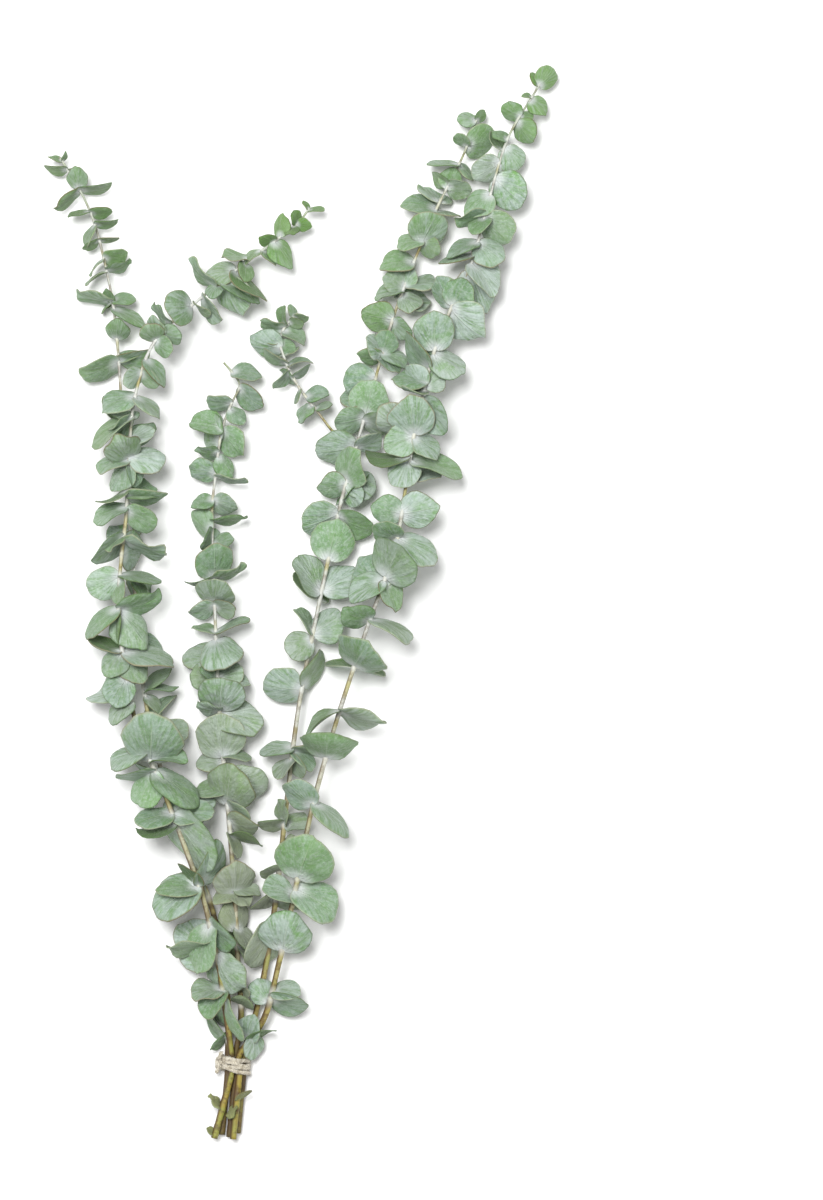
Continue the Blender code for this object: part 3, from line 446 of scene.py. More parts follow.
LEFT_BACK = Stem(
    "left_back",
    route=(
        (219.4, 1140, 4.6), (TIE_LOW_X[0], TIE_FOOT, TIE_LOW_ROW),
        (TIE_LOW_X[0], TIE_TOP, TIE_LOW_ROW), (226.7, 1020, 7), (221.6, 959, 10),
        (206.6, 899, 13), (182.4, 845, 15), (145.5, 711, 15), (130.5, 555, 15), (119.5, 399, 15),
        (111.6, 305, 15), (92.4, 221, 14), (77.5, 187, 13.5), (57, 154, 13),
    ),
    lengths=((154, 7), (170, 13), (187, 18), (250, 17), (400, 23), (700, 28), (1020, 26)),
    breadth=0.92,
    leaves=(
        (158, 47, 150, 0.4), (158, 66, 150, 0.3), (166, 42, 170, 0.35), (168, 80, 172, 0.3),
        (185, 74, 163, 1.0), (187, 55, 210, 0.2), (187, 110, 188, 0.2), (209, 66, 213, 0.35),
        (210, 110, 214, 0.45), (222, 117, 223, 0.3), (223, 79, 243, 0.4), (238, 82, 248, 0.3),
        (238, 118, 239, 0.2), (256, 126, 257, 0.7), (257, 86, 273, 0.25), (270, 81, 276, 0.2),
        (268, 131, 267, 0.25), (299, 73, 298, 0.2), (298, 134, 297, 0.6), (300, 104, 288, 0.7),
        (307, 147, 323, 0.35), (337, 117, 325, 1.0), (361, 80, 380, 0.55), (358, 149, 360, 0.45),
        (440, 157, 432, 0.5), (480, 157, 490, 0.4), (573, 152, 583, 0.3), (580, 146, 597, 0.4),
        (640, 165, 648, 0.4), (688, 169, 668, 0.45), (692, 174, 679, 0.15), (697, 163, 711, 0.5),
        (738, 186, 726, 0.85), (1028, 210, 1018, 0.5), (1044, 198, 1020, 0.3),
        (1038, 214, 1058, 0.4),
    ),
    hidden=(300, 980, 60),
    seed=59,
)

STEMS = (RIGHT_FRONT, LEFT_FRONT, RIGHT_BACK, SIDE_SHOOT, MIDDLE, LEFT_BACK)


def on_plan(x, y, height=0.0):
    """A place on the plan, in millimetres."""
    return Vector(((x - PLAN_CENTRE[0]) * PLAN_UNIT, (PLAN_CENTRE[1] - y) * PLAN_UNIT, height))


def plan_height(point):
    """A place's height on the plan, which runs down from the tips."""
    return PLAN_CENTRE[1] - point.y / PLAN_UNIT


# The height of the twine's first turn, in millimetres
FIRST_TURN = on_plan(0, TIE_CENTRE).y - TWINE_PITCH * (TWINE_TURNS - 1) / 2


def profile(points, y):
    """The value at height y on straight lines through (y, value) points."""
    if y <= points[0][0]:
        return points[0][1]
    for (y0, v0), (y1, v1) in itertools.pairwise(points):
        if y <= y1:
            return v0 + (v1 - v0) * (y - y0) / (y1 - y0)
    return points[-1][1]


def catmull_rom(a, b, c, d, t):
    """A point on the smooth curve from b to c, at the share t of the way."""
    return 0.5 * (
        2 * b
        + (c - a) * t
        + (2 * a - 5 * b + 4 * c - d) * t**2
        + (3 * b - a - 3 * c + d) * t**3
    )


def curve_quads(points):
    """The four points that shape each span of a smooth curve through the points."""
    ends = [2 * points[0] - points[1], *points, 2 * points[-1] - points[-2]]
    return zip(ends, ends[1:], ends[2:], ends[3:])


def smooth_spans(route):
    """The spans of a smooth curve through the route, as points. The span under the twine is straight."""
    tie_foot = on_plan(0, TIE_FOOT).y
    shares = [step / SPAN_SAMPLES for step in range(SPAN_SAMPLES + 1)]
    spans = []
    for a, b, c, d in curve_quads([on_plan(*p) for p in route]):
        tied = b.y == tie_foot
        spans.append([b, c] if tied else [catmull_rom(a, b, c, d, share) for share in shares])
    return spans


def smooth_line(points, step):
    """A smooth curve through the points, with points about this far apart."""
    line = []
    for a, b, c, d in curve_quads(points):
        count = max(1, round((c - b).length / step))
        line += [catmull_rom(a, b, c, d, k / count) for k in range(count)]
    return [*line, points[-1]]


def travel_along(points):
    """How far along the line each of its points is."""
    travel = [0.0]
    for a, b in itertools.pairwise(points):
        travel.append(travel[-1] + (b - a).length)
    return travel


def even_points(points, step):
    """The same line as points an even step apart, its ends kept."""
    travel = travel_along(points)
    spans = max(1, round(travel[-1] / step))
    even = [points[0]]
    i = 0
    for k in range(1, spans):
        target = travel[-1] * k / spans
        while travel[i + 1] < target:
            i += 1
        share = (target - travel[i]) / (travel[i + 1] - travel[i])
        even.append(points[i].lerp(points[i + 1], share))
    return [*even, points[-1]]


class Axis:
    """A stem's centre line, with the stem's direction and radius along it."""

    def __init__(self, stem):
        spans = [even_points(span, RING_STEP) for span in smooth_spans(stem.route)]
        self.points = [spans[0][0]] + [point for span in spans for point in span[1:]]
        self.travel = travel_along(self.points)
        self.length = self.travel[-1]
        self.butt_radius = stem.butt_radius

    def at(self, distance):
        """(point, direction) this far from the cut end."""
        distance = min(max(distance, 0.0), self.length)
        i = next(k for k, d in enumerate(self.travel[1:]) if d >= distance - 1e-9)
        span = self.points[i + 1] - self.points[i]
        share = (distance - self.travel[i]) / span.length
        return self.points[i] + span * share, span.normalized()

    def distance_at(self, y):
        """How far from the cut end the stem reaches height y."""
        for i, (a, b) in enumerate(itertools.pairwise(self.points)):
            if a.y <= y <= b.y:
                share = (y - a.y) / (b.y - a.y)
                return self.travel[i] + share * (b - a).length
        return self.length

    def radius(self, distance):
        share = (distance / self.length) ** TAPER_POWER
        return self.butt_radius + (TIP_RADIUS - self.butt_radius) * share


def ring_directions(direction):
    """The directions across a stem, one that faces up and one that faces right."""
    up = Vector((0, 0, 1))
    up = (up - direction * up.dot(direction)).normalized()
    return up, direction.cross(up)


def make_leaf(stem, root, along, seen, length, draw):
    """A leaf by its direction and by the share of its face that shows from above."""
    flat = Vector((0, 0, 1)) - along * along.z
    flat.normalize()
    sideways = along.cross(flat)
    roll = math.acos(min(abs(seen), 1.0)) * (1 if draw["roll"] > 0 else -1)
    return Leaf(
        stem=stem.name,
        root=root,
        along=along,
        across=sideways * math.cos(roll) - flat * math.sin(roll),
        normal=flat * math.cos(roll) + sideways * math.sin(roll),
        length=length,
        half_width=length * stem.breadth / 2,
        curl=math.radians(CURL + draw["curl"] * CURL_SPREAD),
        cup=(CUP + draw["cup"] * CUP_SPREAD) * (-1 if seen >= ARCHED_FACE else 1),
    )


def seen_leaf(stem, axis, entry, draw):
    """A leaf of the stem's list. It rises from its stem as far as its length asks."""
    y, tip_x, tip_y, seen = entry
    distance = axis.distance_at(on_plan(0, y).y)
    point, direction = axis.at(distance)
    reach = on_plan(tip_x, tip_y) - point
    reach.z = 0.0
    length = profile(stem.lengths, y) * (1 + draw["length"] * LENGTH_SPREAD)
    if abs(seen) < 1.0:
        length = max(reach.length, length * LEAST_LENGTH)
    length = max(length, reach.length * 1.02)
    rise = math.copysign(math.sqrt(length**2 - reach.length**2), seen)
    along = (reach + Vector((0, 0, rise))) / length
    outward = (along - direction * along.dot(direction)).normalized()
    root = point + outward * ROOT_DEPTH * axis.radius(distance)
    return make_leaf(stem, root, along, seen, length, draw), direction


def hidden_leaf(stem, axis, y, side, draw):
    """A leaf on the side of the surface, by rule: to the left and right in turn."""
    distance = axis.distance_at(on_plan(0, y).y)
    point, direction = axis.at(distance)
    up, right = ring_directions(direction)
    twist = math.radians(180 + side * HIDDEN_TWIST + draw["twist"] * PITCH_SPREAD)
    outward = up * math.cos(twist) + right * math.sin(twist)
    pitch = math.radians(HIDDEN_PITCH + draw["pitch"] * PITCH_SPREAD)
    along = direction * math.cos(pitch) + outward * math.sin(pitch)
    length = profile(stem.lengths, y) * (1 + draw["length"] * LENGTH_SPREAD)
    root = point + outward * ROOT_DEPTH * axis.radius(distance)
    seen = LYING + draw["roll"] * LYING_SPREAD
    return make_leaf(stem, root, along, seen, length, draw), direction


def blade_point(leaf, share, breadth):
    """(point, normal) on a leaf's middle surface, by the shares of its length and half width."""
    angle = leaf.curl * share
    reach = leaf.length * math.sin(angle) / leaf.curl
    drop = leaf.length * (1 - math.cos(angle)) / leaf.curl
    normal = leaf.normal * math.cos(angle) + leaf.along * math.sin(angle)
    point = leaf.root + leaf.along * reach - leaf.normal * drop
    point += leaf.across * (breadth * leaf.half_width)
    return point + normal * (leaf.cup * leaf.half_width * breadth**2), normal


# One side of a leaf's outline between its root and its tip, as shares of length and half width
LARGE_SIDE = ((0.08, 0.64), (0.40, 1.0), (0.81, 0.74))
SMALL_SIDE = ((0.22, 0.86), (0.74, 0.86))


def blade_mesh(leaf, thickness, growth):
    """(points, faces) of a leaf's closed blade, pressed flat where it meets the surface."""
    side = LARGE_SIDE if leaf.length > LARGE_LEAF else SMALL_SIDE
    other_side = [(share, -breadth) for share, breadth in reversed(side)]
    outline = [(0.0, 0.0), *side, (1.0, 0.0), *other_side]
    rim = len(outline)
    points = []
    for half in (0.5, -0.5):
        for share, breadth in outline:
            point, normal = blade_point(leaf, share * growth, breadth * growth)
            points.append(point + normal * (half * thickness))
    for i in range(rim):
        upper, lower = sorted((points[i], points[i + rim]), key=lambda p: -p.z)
        lower.z = max(lower.z, 0.0)
        upper.z = max(upper.z, thickness)
    top = [(0, 1, rim - 1)]
    for i in range(1, len(side)):
        top += [(i, i + 1, rim - i), (i + 1, rim - i - 1, rim - i)]
    top.append((len(side), len(side) + 1, len(side) + 2))
    faces = [tuple(reversed(face)) for face in top]
    faces += [tuple(i + rim for i in face) for face in top]
    for i in range(rim):
        j = (i + 1) % rim
        faces += [(i, j, j + rim), (i, j + rim, i + rim)]
    return points, faces


def tube_mesh(axis, sides, extra_radius):
    """(points, faces) of a stem's closed tube."""
    rings = len(axis.points)
    points, faces = [], []
    for ring, centre in enumerate(axis.points):
        before, after = axis.points[max(ring - 1, 0)], axis.points[min(ring + 1, rings - 1)]
        up, right = ring_directions((after - before).normalized())
        radius = axis.radius(axis.travel[ring]) + extra_radius
        for side in range(sides):
            turn = 2 * math.pi * side / sides
            points.append(centre + (up * math.cos(turn) + right * math.sin(turn)) * radius)
    for ring, side in itertools.product(range(rings - 1), range(sides)):
        a = ring * sides + side
        b = ring * sides + (side + 1) % sides
        faces += [(a, b, b + sides), (a, b + sides, a + sides)]
    last = (rings - 1) * sides
    for side in range(1, sides - 1):
        faces += [(0, side + 1, side), (last, last + side, last + side + 1)]
    return points, faces


def tie_path():
    """The twine's centre line round the stems, as (x, z) points, with rounded corners."""
    low, high = TIE_LOW_ROW, TIE_HIGH_ROW
    places = ((TIE_LOW_X[2], low), (TIE_HIGH_X[1], high), (TIE_HIGH_X[0], high), (TIE_LOW_X[0], low))
    corners = [(on_plan(x, 0).x, z) for x, z in places]
    offset = TIE_STEM_RADIUS + TWINE_GAP + TWINE_RADIUS
    path = []
    for i, corner in enumerate(corners):
        before, after = corners[i - 1], corners[(i + 1) % len(corners)]
        start = math.atan2(corner[1] - before[1], corner[0] - before[0]) - math.pi / 2
        end = math.atan2(after[1] - corner[1], after[0] - corner[0]) - math.pi / 2
        while end < start:
            end += 2 * math.pi
        for step in range(CORNER_STEPS + 1):
            turn = start + (end - start) * step / CORNER_STEPS
            path.append((corner[0] + offset * math.cos(turn), corner[1] + offset * math.sin(turn)))
    return path


def twine_turn(y):
    """(points, faces) of one closed turn of twine, with a flat side all the way round outside."""
    path = tie_path()
    count = len(path)
    points, faces = [], []
    for i, (x, z) in enumerate(path):
        before, after = path[i - 1], path[(i + 1) % count]
        heading = Vector((after[0] - before[0], 0, after[1] - before[1])).normalized()
        outward = Vector((heading.z, 0, -heading.x))
        for side in range(TWINE_SIDES):
            turn = 2 * math.pi * (side + 0.5) / TWINE_SIDES
            spread = outward * math.cos(turn) + Vector((0, 1, 0)) * math.sin(turn)
            point = Vector((x, y, z)) + spread * TWINE_RADIUS
            point.z = max(point.z, 0.0)
            points.append(point)
    for i, side in itertools.product(range(count), range(TWINE_SIDES)):
        a = i * TWINE_SIDES + side
        b = i * TWINE_SIDES + (side + 1) % TWINE_SIDES
        c = (a + TWINE_SIDES) % len(points)
        d = (b + TWINE_SIDES) % len(points)
        faces += [(a, b, d), (a, d, c)]
    return points, faces


def lowest(leaf):
    """How low the leaf would reach with no surface under it."""
    spots = ((0.5, -1.0), (0.5, 1.0), (1.0, 0.0))
    return min(blade_point(leaf, *spot)[0].z for spot in spots)


def tree_of(mesh):
    return BVHTree.FromPolygons(mesh[0], mesh[1])


def span_of(mesh):
    """(centre, reach) of a ball round a mesh."""
    centre = sum(mesh[0], Vector()) / len(mesh[0])
    return centre, max((p - centre).length for p in mesh[0])


# Ways to bend a leaf clear of its neighbours: pitch, twist, roll, size
BENDS = tuple(
    itertools.product(
        (0, -12, 12, -24, 24, -38, 38, 54),
        (0, -14, 14, -28, 28),
        (0, -22, 22, -44, 44),
        (1.0, 0.88, 0.76, 0.66),
    )
)

# What the bend costs, beside how far it moves the tip as seen from above: the face that turns
# from or to the eye, the turn in space, the size lost, and each leaf of the same stem crossed
FACE_COST = 0.6
TURN_COST = 0.12
SIZE_COST = 1.2
CROSSING_COST = 0.3


def look_change(first, leaf):
    """How much the bent leaf's look from above has changed."""
    moved = (leaf.along * leaf.length - first.along * first.length).xy.length / first.length
    face = abs(abs(leaf.normal.z) - abs(first.normal.z))
    turn = (leaf.along - first.along).length + (leaf.normal - first.normal).length
    lost = 1 - leaf.length / first.length
    return moved + FACE_COST * face + TURN_COST * turn + SIZE_COST * lost


def rotated(leaf, pitch, twist, roll, scale, stem_direction):
    """The leaf turned by these angles about its root, and scaled."""
    directions = [leaf.along, leaf.across, leaf.normal]
    for angle, pivot in ((roll, leaf.along), (pitch, leaf.across), (twist, stem_direction)):
        if angle:
            directions = [turned(d, pivot, math.radians(angle)) for d in directions]
    sizes = (leaf.length * scale, leaf.half_width * scale)
    return Leaf(leaf.stem, leaf.root, *directions, *sizes, leaf.curl, leaf.cup)


def turned(vector, pivot, angle):
    """A vector turned about a unit vector (Rodrigues' formula)."""
    return (
        vector * math.cos(angle)
        + pivot.cross(vector) * math.sin(angle)
        + pivot * pivot.dot(vector) * (1 - math.cos(angle))
    )


def place_leaves(axes, tie_meshes):
    """Every leaf of the bunch, each bent clear of the ones before it."""
    stem_trees = [(stem, tree_of(tube_mesh(axis, STEM_SIDES, STEM_ROOM))) for stem, axis in axes]
    twine_trees = [tree_of(mesh) for mesh in tie_meshes]
    placed = []
    for stem, axis in axes:
        random_source = random.Random(stem.seed)
        first, last, spacing = stem.hidden
        rows = range((last - first) // spacing + 1)
        entries = [(seen_leaf, (entry,)) for entry in stem.leaves]
        entries += [(hidden_leaf, (first + spacing * i, (-1) ** i)) for i in rows]
        for rule, entry in entries:
            names = ("twist", "pitch", "roll", "length", "curl", "cup")
            draw = {name: random_source.uniform(-1, 1) for name in names}
            leaf, direction = rule(stem, axis, *entry, draw)
            clear = bent_clear(leaf, direction, placed, stem_trees, twine_trees, stem)
            if clear:
                placed.append(clear)
    return [leaf for leaf, *_ in placed]


def bent_clear(first, direction, placed, stem_trees, twine_trees, stem):
    """The leaf in its cheapest clear bend, with what later leaves are tested against.

    It keeps clear of everything but the leaves of its own stem, which it may cross at a cost.
    """
    best, least = None, math.inf
    bent = [rotated(first, *bend, direction) for bend in BENDS]
    ways = [(look_change(first, leaf), leaf) for leaf in bent]
    for change, leaf in sorted(ways, key=itemgetter(0)):
        if change >= least:
            break
        if lowest(leaf) < -PRESSED_DEPTH:
            continue
        mesh = blade_mesh(leaf, TEST_THICKNESS, TEST_GROWTH)
        tree = tree_of(mesh)
        if any(other.name != stem.name and tree.overlap(t) for other, t in stem_trees):
            continue
        if any(tree.overlap(t) for t in twine_trees):
            continue
        centre, reach = span_of(mesh)
        crossed = []
        for old, old_tree, c, r, other in placed:
            if (centre - c).length > reach + r:
                continue
            paired = other is stem and (old.root - leaf.root).length < SAME_NODE
            if not paired and tree.overlap(old_tree):
                crossed.append(other)
        if any(other.name != stem.name for other in crossed):
            continue
        cost = change + CROSSING_COST * len(crossed)
        if cost < least:
            best, least = (leaf, tree, centre, reach, stem), cost
    return best


def knot_centre():
    """The middle of the knot, at the left of the turns."""
    x = min(x for x, _ in tie_path()) - KNOT_OUT
    return Vector((x, on_plan(0, TIE_CENTRE).y, (TIE_LOW_ROW + TIE_HIGH_ROW) / 2))


def knot_mesh():
    """(points, faces) of the knot's lump."""
    shape = bmesh.new()
    bmesh.ops.create_icosphere(shape, subdivisions=1, radius=1.0)
    centre = knot_centre()
    points = [centre + Vector([v.co[i] * KNOT_SIZE[i] for i in range(3)]) for v in shape.verts]
    faces = [tuple(v.index for v in f.verts) for f in shape.faces]
    shape.free()
    return points, faces


def leaf_spokes():
    """The leaf's outline as (share, breadth), from the root round the right side to the tip and back."""
    side = [Vector((share, breadth, 0)) for share, breadth in OUTLINE_SIDE]
    line = smooth_line(side, OUTLINE_STEP)
    line = even_points(line, travel_along(line)[-1] / SPOKES_A_SIDE)
    right = [(p.x, p.y) for p in line]
    left = [(share, -breadth) for share, breadth in reversed(right[1:-1])]
    return right + left


SPOKES = leaf_spokes()


def leaf_sheet(leaf, chance):
    """The (place, normal, share, breadth, ring) of each point of a fine leaf, hub first."""
    fold = math.copysign(chance.uniform(*FOLD), leaf.cup)
    ruffle = chance.uniform(*RUFFLE) + (RUFFLE_MORE if chance.random() < WAVY_SHARE else 0.0)
    point_at_tip = chance.uniform(*TIP_POINT)
    notches = [(n, size, chance.uniform(0, 2 * math.pi)) for n, size in NOTCHES]
    waves = chance.choice(WAVE_COUNTS)
    phase = chance.uniform(0, 2 * math.pi)
    roll = chance.uniform(*ROLL)
    twist = chance.uniform(-LEAF_TWIST, LEAF_TWIST)
    lean = chance.uniform(-LEAF_LEAN, LEAF_LEAN)
    sheet = []

    def add(share, breadth, ring, turn):
        point, normal = blade_point(leaf, share, breadth + lean * share * (1 - share))
        rise = fold * (math.hypot(breadth, FOLD_WIDTH) - FOLD_WIDTH)
        rise += ruffle * ring**3 * math.sin(waves * turn + phase)
        rise -= roll * ring**6
        rise += twist * share * breadth
        grown = min(1.0, max(0.0, share + 0.02) * WAVE_GROWTH)
        sheet.append((point + normal * (rise * grown * leaf.half_width), normal, share, breadth, ring))

    add(HUB_SHARE, 0.0, 0.0, 0.0)
    for ring in RINGS:
        for k, (share, breadth) in enumerate(SPOKES):
            turn = 2 * math.pi * k / len(SPOKES)
            wobble = sum(size * math.sin(n * turn + start) for n, size, start in notches)
            reach = ring * (1 + (wobble - INSET) * min(1.0, max(0.0, share) * NOTCH_GROWTH))
            narrow = 1 - point_at_tip * max(0.0, share - TIP_FROM) * TIP_NARROWING
            add(HUB_SHARE + (share - HUB_SHARE) * reach, breadth * reach * narrow, ring, turn)
    return sheet


def linked(name, data):
    """A new object in the scene."""
    made = bpy.data.objects.new(name, data)
    bpy.context.scene.collection.objects.link(made)
    return made


class Bag:
    """The points, faces and per-point values of one mesh, gathered piece by piece."""

    def __init__(self):
        self.points, self.faces, self.slots = [], [], []
        self.values = {}

    def add(self, points, faces, slot=0, **values):
        start = len(self.points)
        self.points += points
        self.faces += [tuple(i + start for i in face) for face in faces]
        self.slots += [slot] * len(faces)
        for name, value in values.items():
            column = self.values.setdefault(name, [])
            column += [0.0] * (start - len(column))
            column += value if isinstance(value, list) else [value] * len(points)

    def build(self, name, materials):
        data = bpy.data.meshes.new(name)
        data.from_pydata([p * METRES for p in self.points], [], self.faces)
        for column_name, column in self.values.items():
            column += [0.0] * (len(self.points) - len(column))
            layer = data.attributes.new(column_name, "FLOAT", "POINT")
            layer.data.foreach_set("value", column)
        for material in materials:
            data.materials.append(material)
        data.polygons.foreach_set("material_index", self.slots)
        data.polygons.foreach_set("use_smooth", [True] * len(data.polygons))
        data.update()
        return linked(name, data)


def tucked(leaf):
    """The leaf, turned down or rolled flatter where it would come up through a neighbour."""
    tip = leaf.root + leaf.along * leaf.length
    for stem, place, drop, flatten in TUCKED:
        if leaf.stem == stem and (tip - on_plan(*place)).xy.length < TUCK_REACH:
            along = (leaf.along - Vector((0, 0, drop))).normalized()
            normal = leaf.normal + Vector((0, 0, flatten))
            normal = (normal - along * normal.dot(along)).normalized()
            return replace(leaf, along=along, normal=normal, across=along.cross(normal))
    return leaf


def tip_green(leaf):
    """How yellow-green a leaf is, by its stem and its height on the plan."""
    heights = TIP_GREEN.get(leaf.stem)
    return profile(heights, plan_height(leaf.root)) if heights else 0.0


def dullness(leaf):
    """How brown and dull a leaf is: the lower leaves of the back stems are the most."""
    return profile(DULL_HEIGHTS, plan_height(leaf.root)) * DULL_STEMS.get(leaf.stem, 0.0)


def add_leaf(bag, leaf, chance):
    """Adds one fine leaf: an upper and a lower sheet with an edge between them."""
    sheet = leaf_sheet(leaf, chance)
    count, around = len(sheet), len(SPOKES)
    points = []
    for half in (0.5, -0.5):
        for point, normal, *_ in sheet:
            place = point + normal * (half * FINE_THICKNESS)
            upward = half * normal.z > 0
            place.z = max(place.z, FINE_THICKNESS if upward else 0.0)
            points.append(place)
    faces = []
    for k in range(around):
        n = (k + 1) % around
        faces.append((0, 1 + n, 1 + k))
        for ring in range(len(RINGS) - 1):
            inner, outer = 1 + ring * around, 1 + (ring + 1) * around
            faces.append((inner + k, inner + n, outer + n, outer + k))
    faces += [tuple(i + count for i in reversed(face)) for face in faces]
    rim = count - around
    for k in range(around):
        n = (k + 1) % around
        faces.append((rim + k, rim + n, rim + n + count, rim + k + count))
    young = max(0.0, min(1.0, (YOUNG_LENGTH - leaf.length) / YOUNG_SPREAD))
    bag.add(
        points,
        faces,
        share=[s[2] for s in sheet] * 2,
        breadth=[s[3] for s in sheet] * 2,
        ring=[s[4] for s in sheet] * 2,
        face=[1.0] * count + [0.0] * count,
        tint=chance.random(),
        bloom=chance.random(),
        fresh=max(0.0, 1 - FRESH_RARITY * (1 - chance.random())),
        tip_green=tip_green(leaf) * chance.uniform(*TIP_GREEN_SHARE),
        dull=max(0.0, dullness(leaf) + chance.uniform(-DULL_SPREAD, DULL_SPREAD)),
        olive=1.0 if leaf.root.y < on_plan(0, TIE_FOOT).y else 0.0,
        # How far the leaf stands on edge; the leaf material darkens such leaves with painted shade
        steep=1 - abs(leaf.normal.z),
        blush=chance.random() ** 4,
        young=min(1.0, young + 0.5 * (chance.random() > STRAY_YOUNG)),
    )


def carried_frames(line):
    """Each point of a line, with two directions across it that don't twist on the way."""
    frames, side_axis = [], None
    for i, centre in enumerate(line):
        heading = (line[min(i + 1, len(line) - 1)] - line[max(i - 1, 0)]).normalized()
        if side_axis is None:
            side_axis = heading.orthogonal().normalized()
        side_axis = (side_axis - heading * side_axis.dot(heading)).normalized()
        frames.append((centre, side_axis, heading.cross(side_axis)))
    return frames


def sweep(bag, line, radius_at, sides, slot=0, end_slot=0, **columns):
    """Adds a round tube along a line. radius_at gives its radius from (place on the line, turn)."""
    points, flank, rings = [], [], len(line)
    for i, (centre, a, b) in enumerate(carried_frames(line)):
        for k in range(sides):
            turn = 2 * math.pi * k / sides
            point = centre + (a * math.cos(turn) + b * math.sin(turn)) * radius_at(i, turn)
            points.append(point)
            # How far each point faces the stems' side with painted shade
            flank.append(max(0.0, SHADED_FLANK.dot((point - centre).normalized())))
    faces = []
    for i, k in itertools.product(range(rings - 1), range(sides)):
        a, b = i * sides + k, i * sides + (k + 1) % sides
        faces.append((a, b, b + sides, a + sides))
    wide = {name: [v for v in column for _ in range(sides)] for name, column in columns.items()}
    bag.add(points, faces, slot, flank=flank, **wide)
    start = len(bag.points) - len(points)
    ends = (tuple(reversed(range(sides))), tuple(range((rings - 1) * sides, rings * sides)))
    bag.faces += [tuple(i + start for i in end) for end in ends]
    bag.slots += [end_slot, slot]


def fine_stem(bag, stem, axis, leaves, end_slot):
    """Adds a stem with a swelling at each leaf, its cut end in the end slot."""
    line = smooth_line(axis.points, FINE_STEP)
    travel = travel_along(line)
    scars = [on_plan(0, y).y for y in SCARS.get(stem.name, ())]
    closeness, scarred = [], []
    for point in line:
        nearest = min((point - leaf.root).length for leaf in leaves)
        closeness.append(math.exp(-((nearest / NODE_WIDTH) ** 2) / 2))
        far = min((abs(point.y - y) for y in scars), default=math.inf)
        scarred.append(math.exp(-((far / SCAR_WIDTH) ** 2) / 2))
    phase = random.Random(stem.seed + SEED_STEP).uniform(0, 6)

    def radius_at(i, turn):
        share = travel[i] / travel[-1] * axis.length
        lumps = STEM_LUMPS * math.sin(2 * turn + travel[i] * LUMP_RATE + phase)
        return axis.radius(share) * (1 + lumps) + NODE_SWELL * max(closeness[i], scarred[i])

    tie_foot = on_plan(0, TIE_FOOT).y
    # Painted shade on the back stems below the tie
    shade = FOOT_SHADE.get(stem.name, 0.0)
    sweep(
        bag,
        line,
        radius_at,
        FINE_SIDES,
        slot=1,
        end_slot=end_slot,
        bark=[d / travel[-1] for d in travel],
        node=[near if point.y > tie_foot else 0.0 for near, point in zip(closeness, line)],
        scar=scarred,
        stem_tint=[stem.seed / SEED_RANGE] * len(line),
        foot_shade=[shade * profile(SHADE_HEIGHTS, plan_height(point)) for point in line],
    )


def round_path():
    """The twine's closed path round the stems as smooth (x, z) points, an even step apart."""
    corners = [Vector((x, 0, z)) for x, z in tie_path()]
    line = even_points([*corners, corners[0]], PATH_STEP)[:-1]
    for _ in range(2):
        count = len(line)
        line = [(line[i - 1] + line[i] * 2 + line[(i + 1) % count]) / 4 for i in range(count)]
    line = [*line, line[0]]
    return even_points(line, travel_along(line)[-1] / TURN_SAMPLES)[:-1]


def twine_line():
    """The twine's middle line: wound round the stems from the knot and back to it."""
    turn = round_path()
    leftmost = min(range(TURN_SAMPLES), key=lambda i: turn[i].x)
    left = turn[leftmost].x
    line = []
    for k in range(TURN_SAMPLES * TWINE_TURNS + 1):
        point = turn[(leftmost + k) % TURN_SAMPLES]
        wander = sum(size * math.sin(k * rate + start) for size, rate, start in WANDER)
        wound = TWINE_PITCH * k / TURN_SAMPLES * WINDING
        y = FIRST_TURN - LINE_DROP + wound + wander - TWINE_SLOPE * (point.x - left)
        line.append(Vector((point.x, y, point.z)))
    return line


def knot_line():
    """The knot's middle line, a trefoil, and its two short ends."""
    centre = knot_centre()
    loop = []
    for k in range(LOOP_POINTS + 1):
        t = 2 * math.pi * k / LOOP_POINTS
        reach = 2 + math.cos(3 * t)
        place = (1.1 * math.sin(3 * t), reach * math.cos(2 * t), 0.85 * reach * math.sin(2 * t))
        loop.append(centre + Vector(place) * LOOP_SIZE)
    ends = [[centre + Vector(p) for p in end] for end in KNOT_ENDS]
    return [loop, *(smooth_line(end, END_STEP) for end in ends)]


def lay_plies(bag, line):
    """Adds twisted plies along a line, and gives back the line's frames."""
    travel = travel_along(line)
    frames = carried_frames(line)
    for ply in range(PLIES):
        ply_line = []
        for (centre, a, b), far in zip(frames, travel):
            turn = 2 * math.pi * (far / PLY_PITCH + ply / PLIES)
            place = centre + (a * math.cos(turn) + b * math.sin(turn)) * PLY_OFFSET
            place.z = max(place.z, PLY_RADIUS)
            ply_line.append(place)

        def radius_at(i, turn, phase=PLY_PHASE * ply):
            strands = STRAND_RELIEF * math.cos(STRANDS * turn + travel[i] * STRAND_RATE + phase)
            lumps = PLY_LUMPS * math.sin(travel[i] * PLY_LUMP_RATE + phase)
            return PLY_RADIUS * (1 + strands + lumps)

        sweep(bag, ply_line, radius_at, PLY_SIDES)
    return frames


def add_fibres(bag, frames, chance):
    """Adds thin bent fibres that stand off the twine."""
    for _ in range(FIBRES):
        centre, a, b = chance.choice(frames)
        turn = chance.uniform(0, 2 * math.pi)
        outward = a * math.cos(turn) + b * math.sin(turn)
        heading = a.cross(b)
        along = outward.cross(heading) * chance.uniform(-1, 1) + heading * chance.uniform(-1, 1)
        start = centre + outward * (PLY_OFFSET + PLY_RADIUS * 0.7)
        reach = chance.uniform(*FIBRE_REACH)
        line = []
        for k in range(FIBRE_SPANS + 1):
            t = k / FIBRE_SPANS
            place = start + (outward * (0.7 * t * (1.4 - t)) + along * (t**1.3)) * reach
            place.z = max(place.z, 0.1)
            line.append(place)
        sweep(bag, line, lambda i, turn: FIBRE_RADIUS * (1 - 0.25 * i), 3)


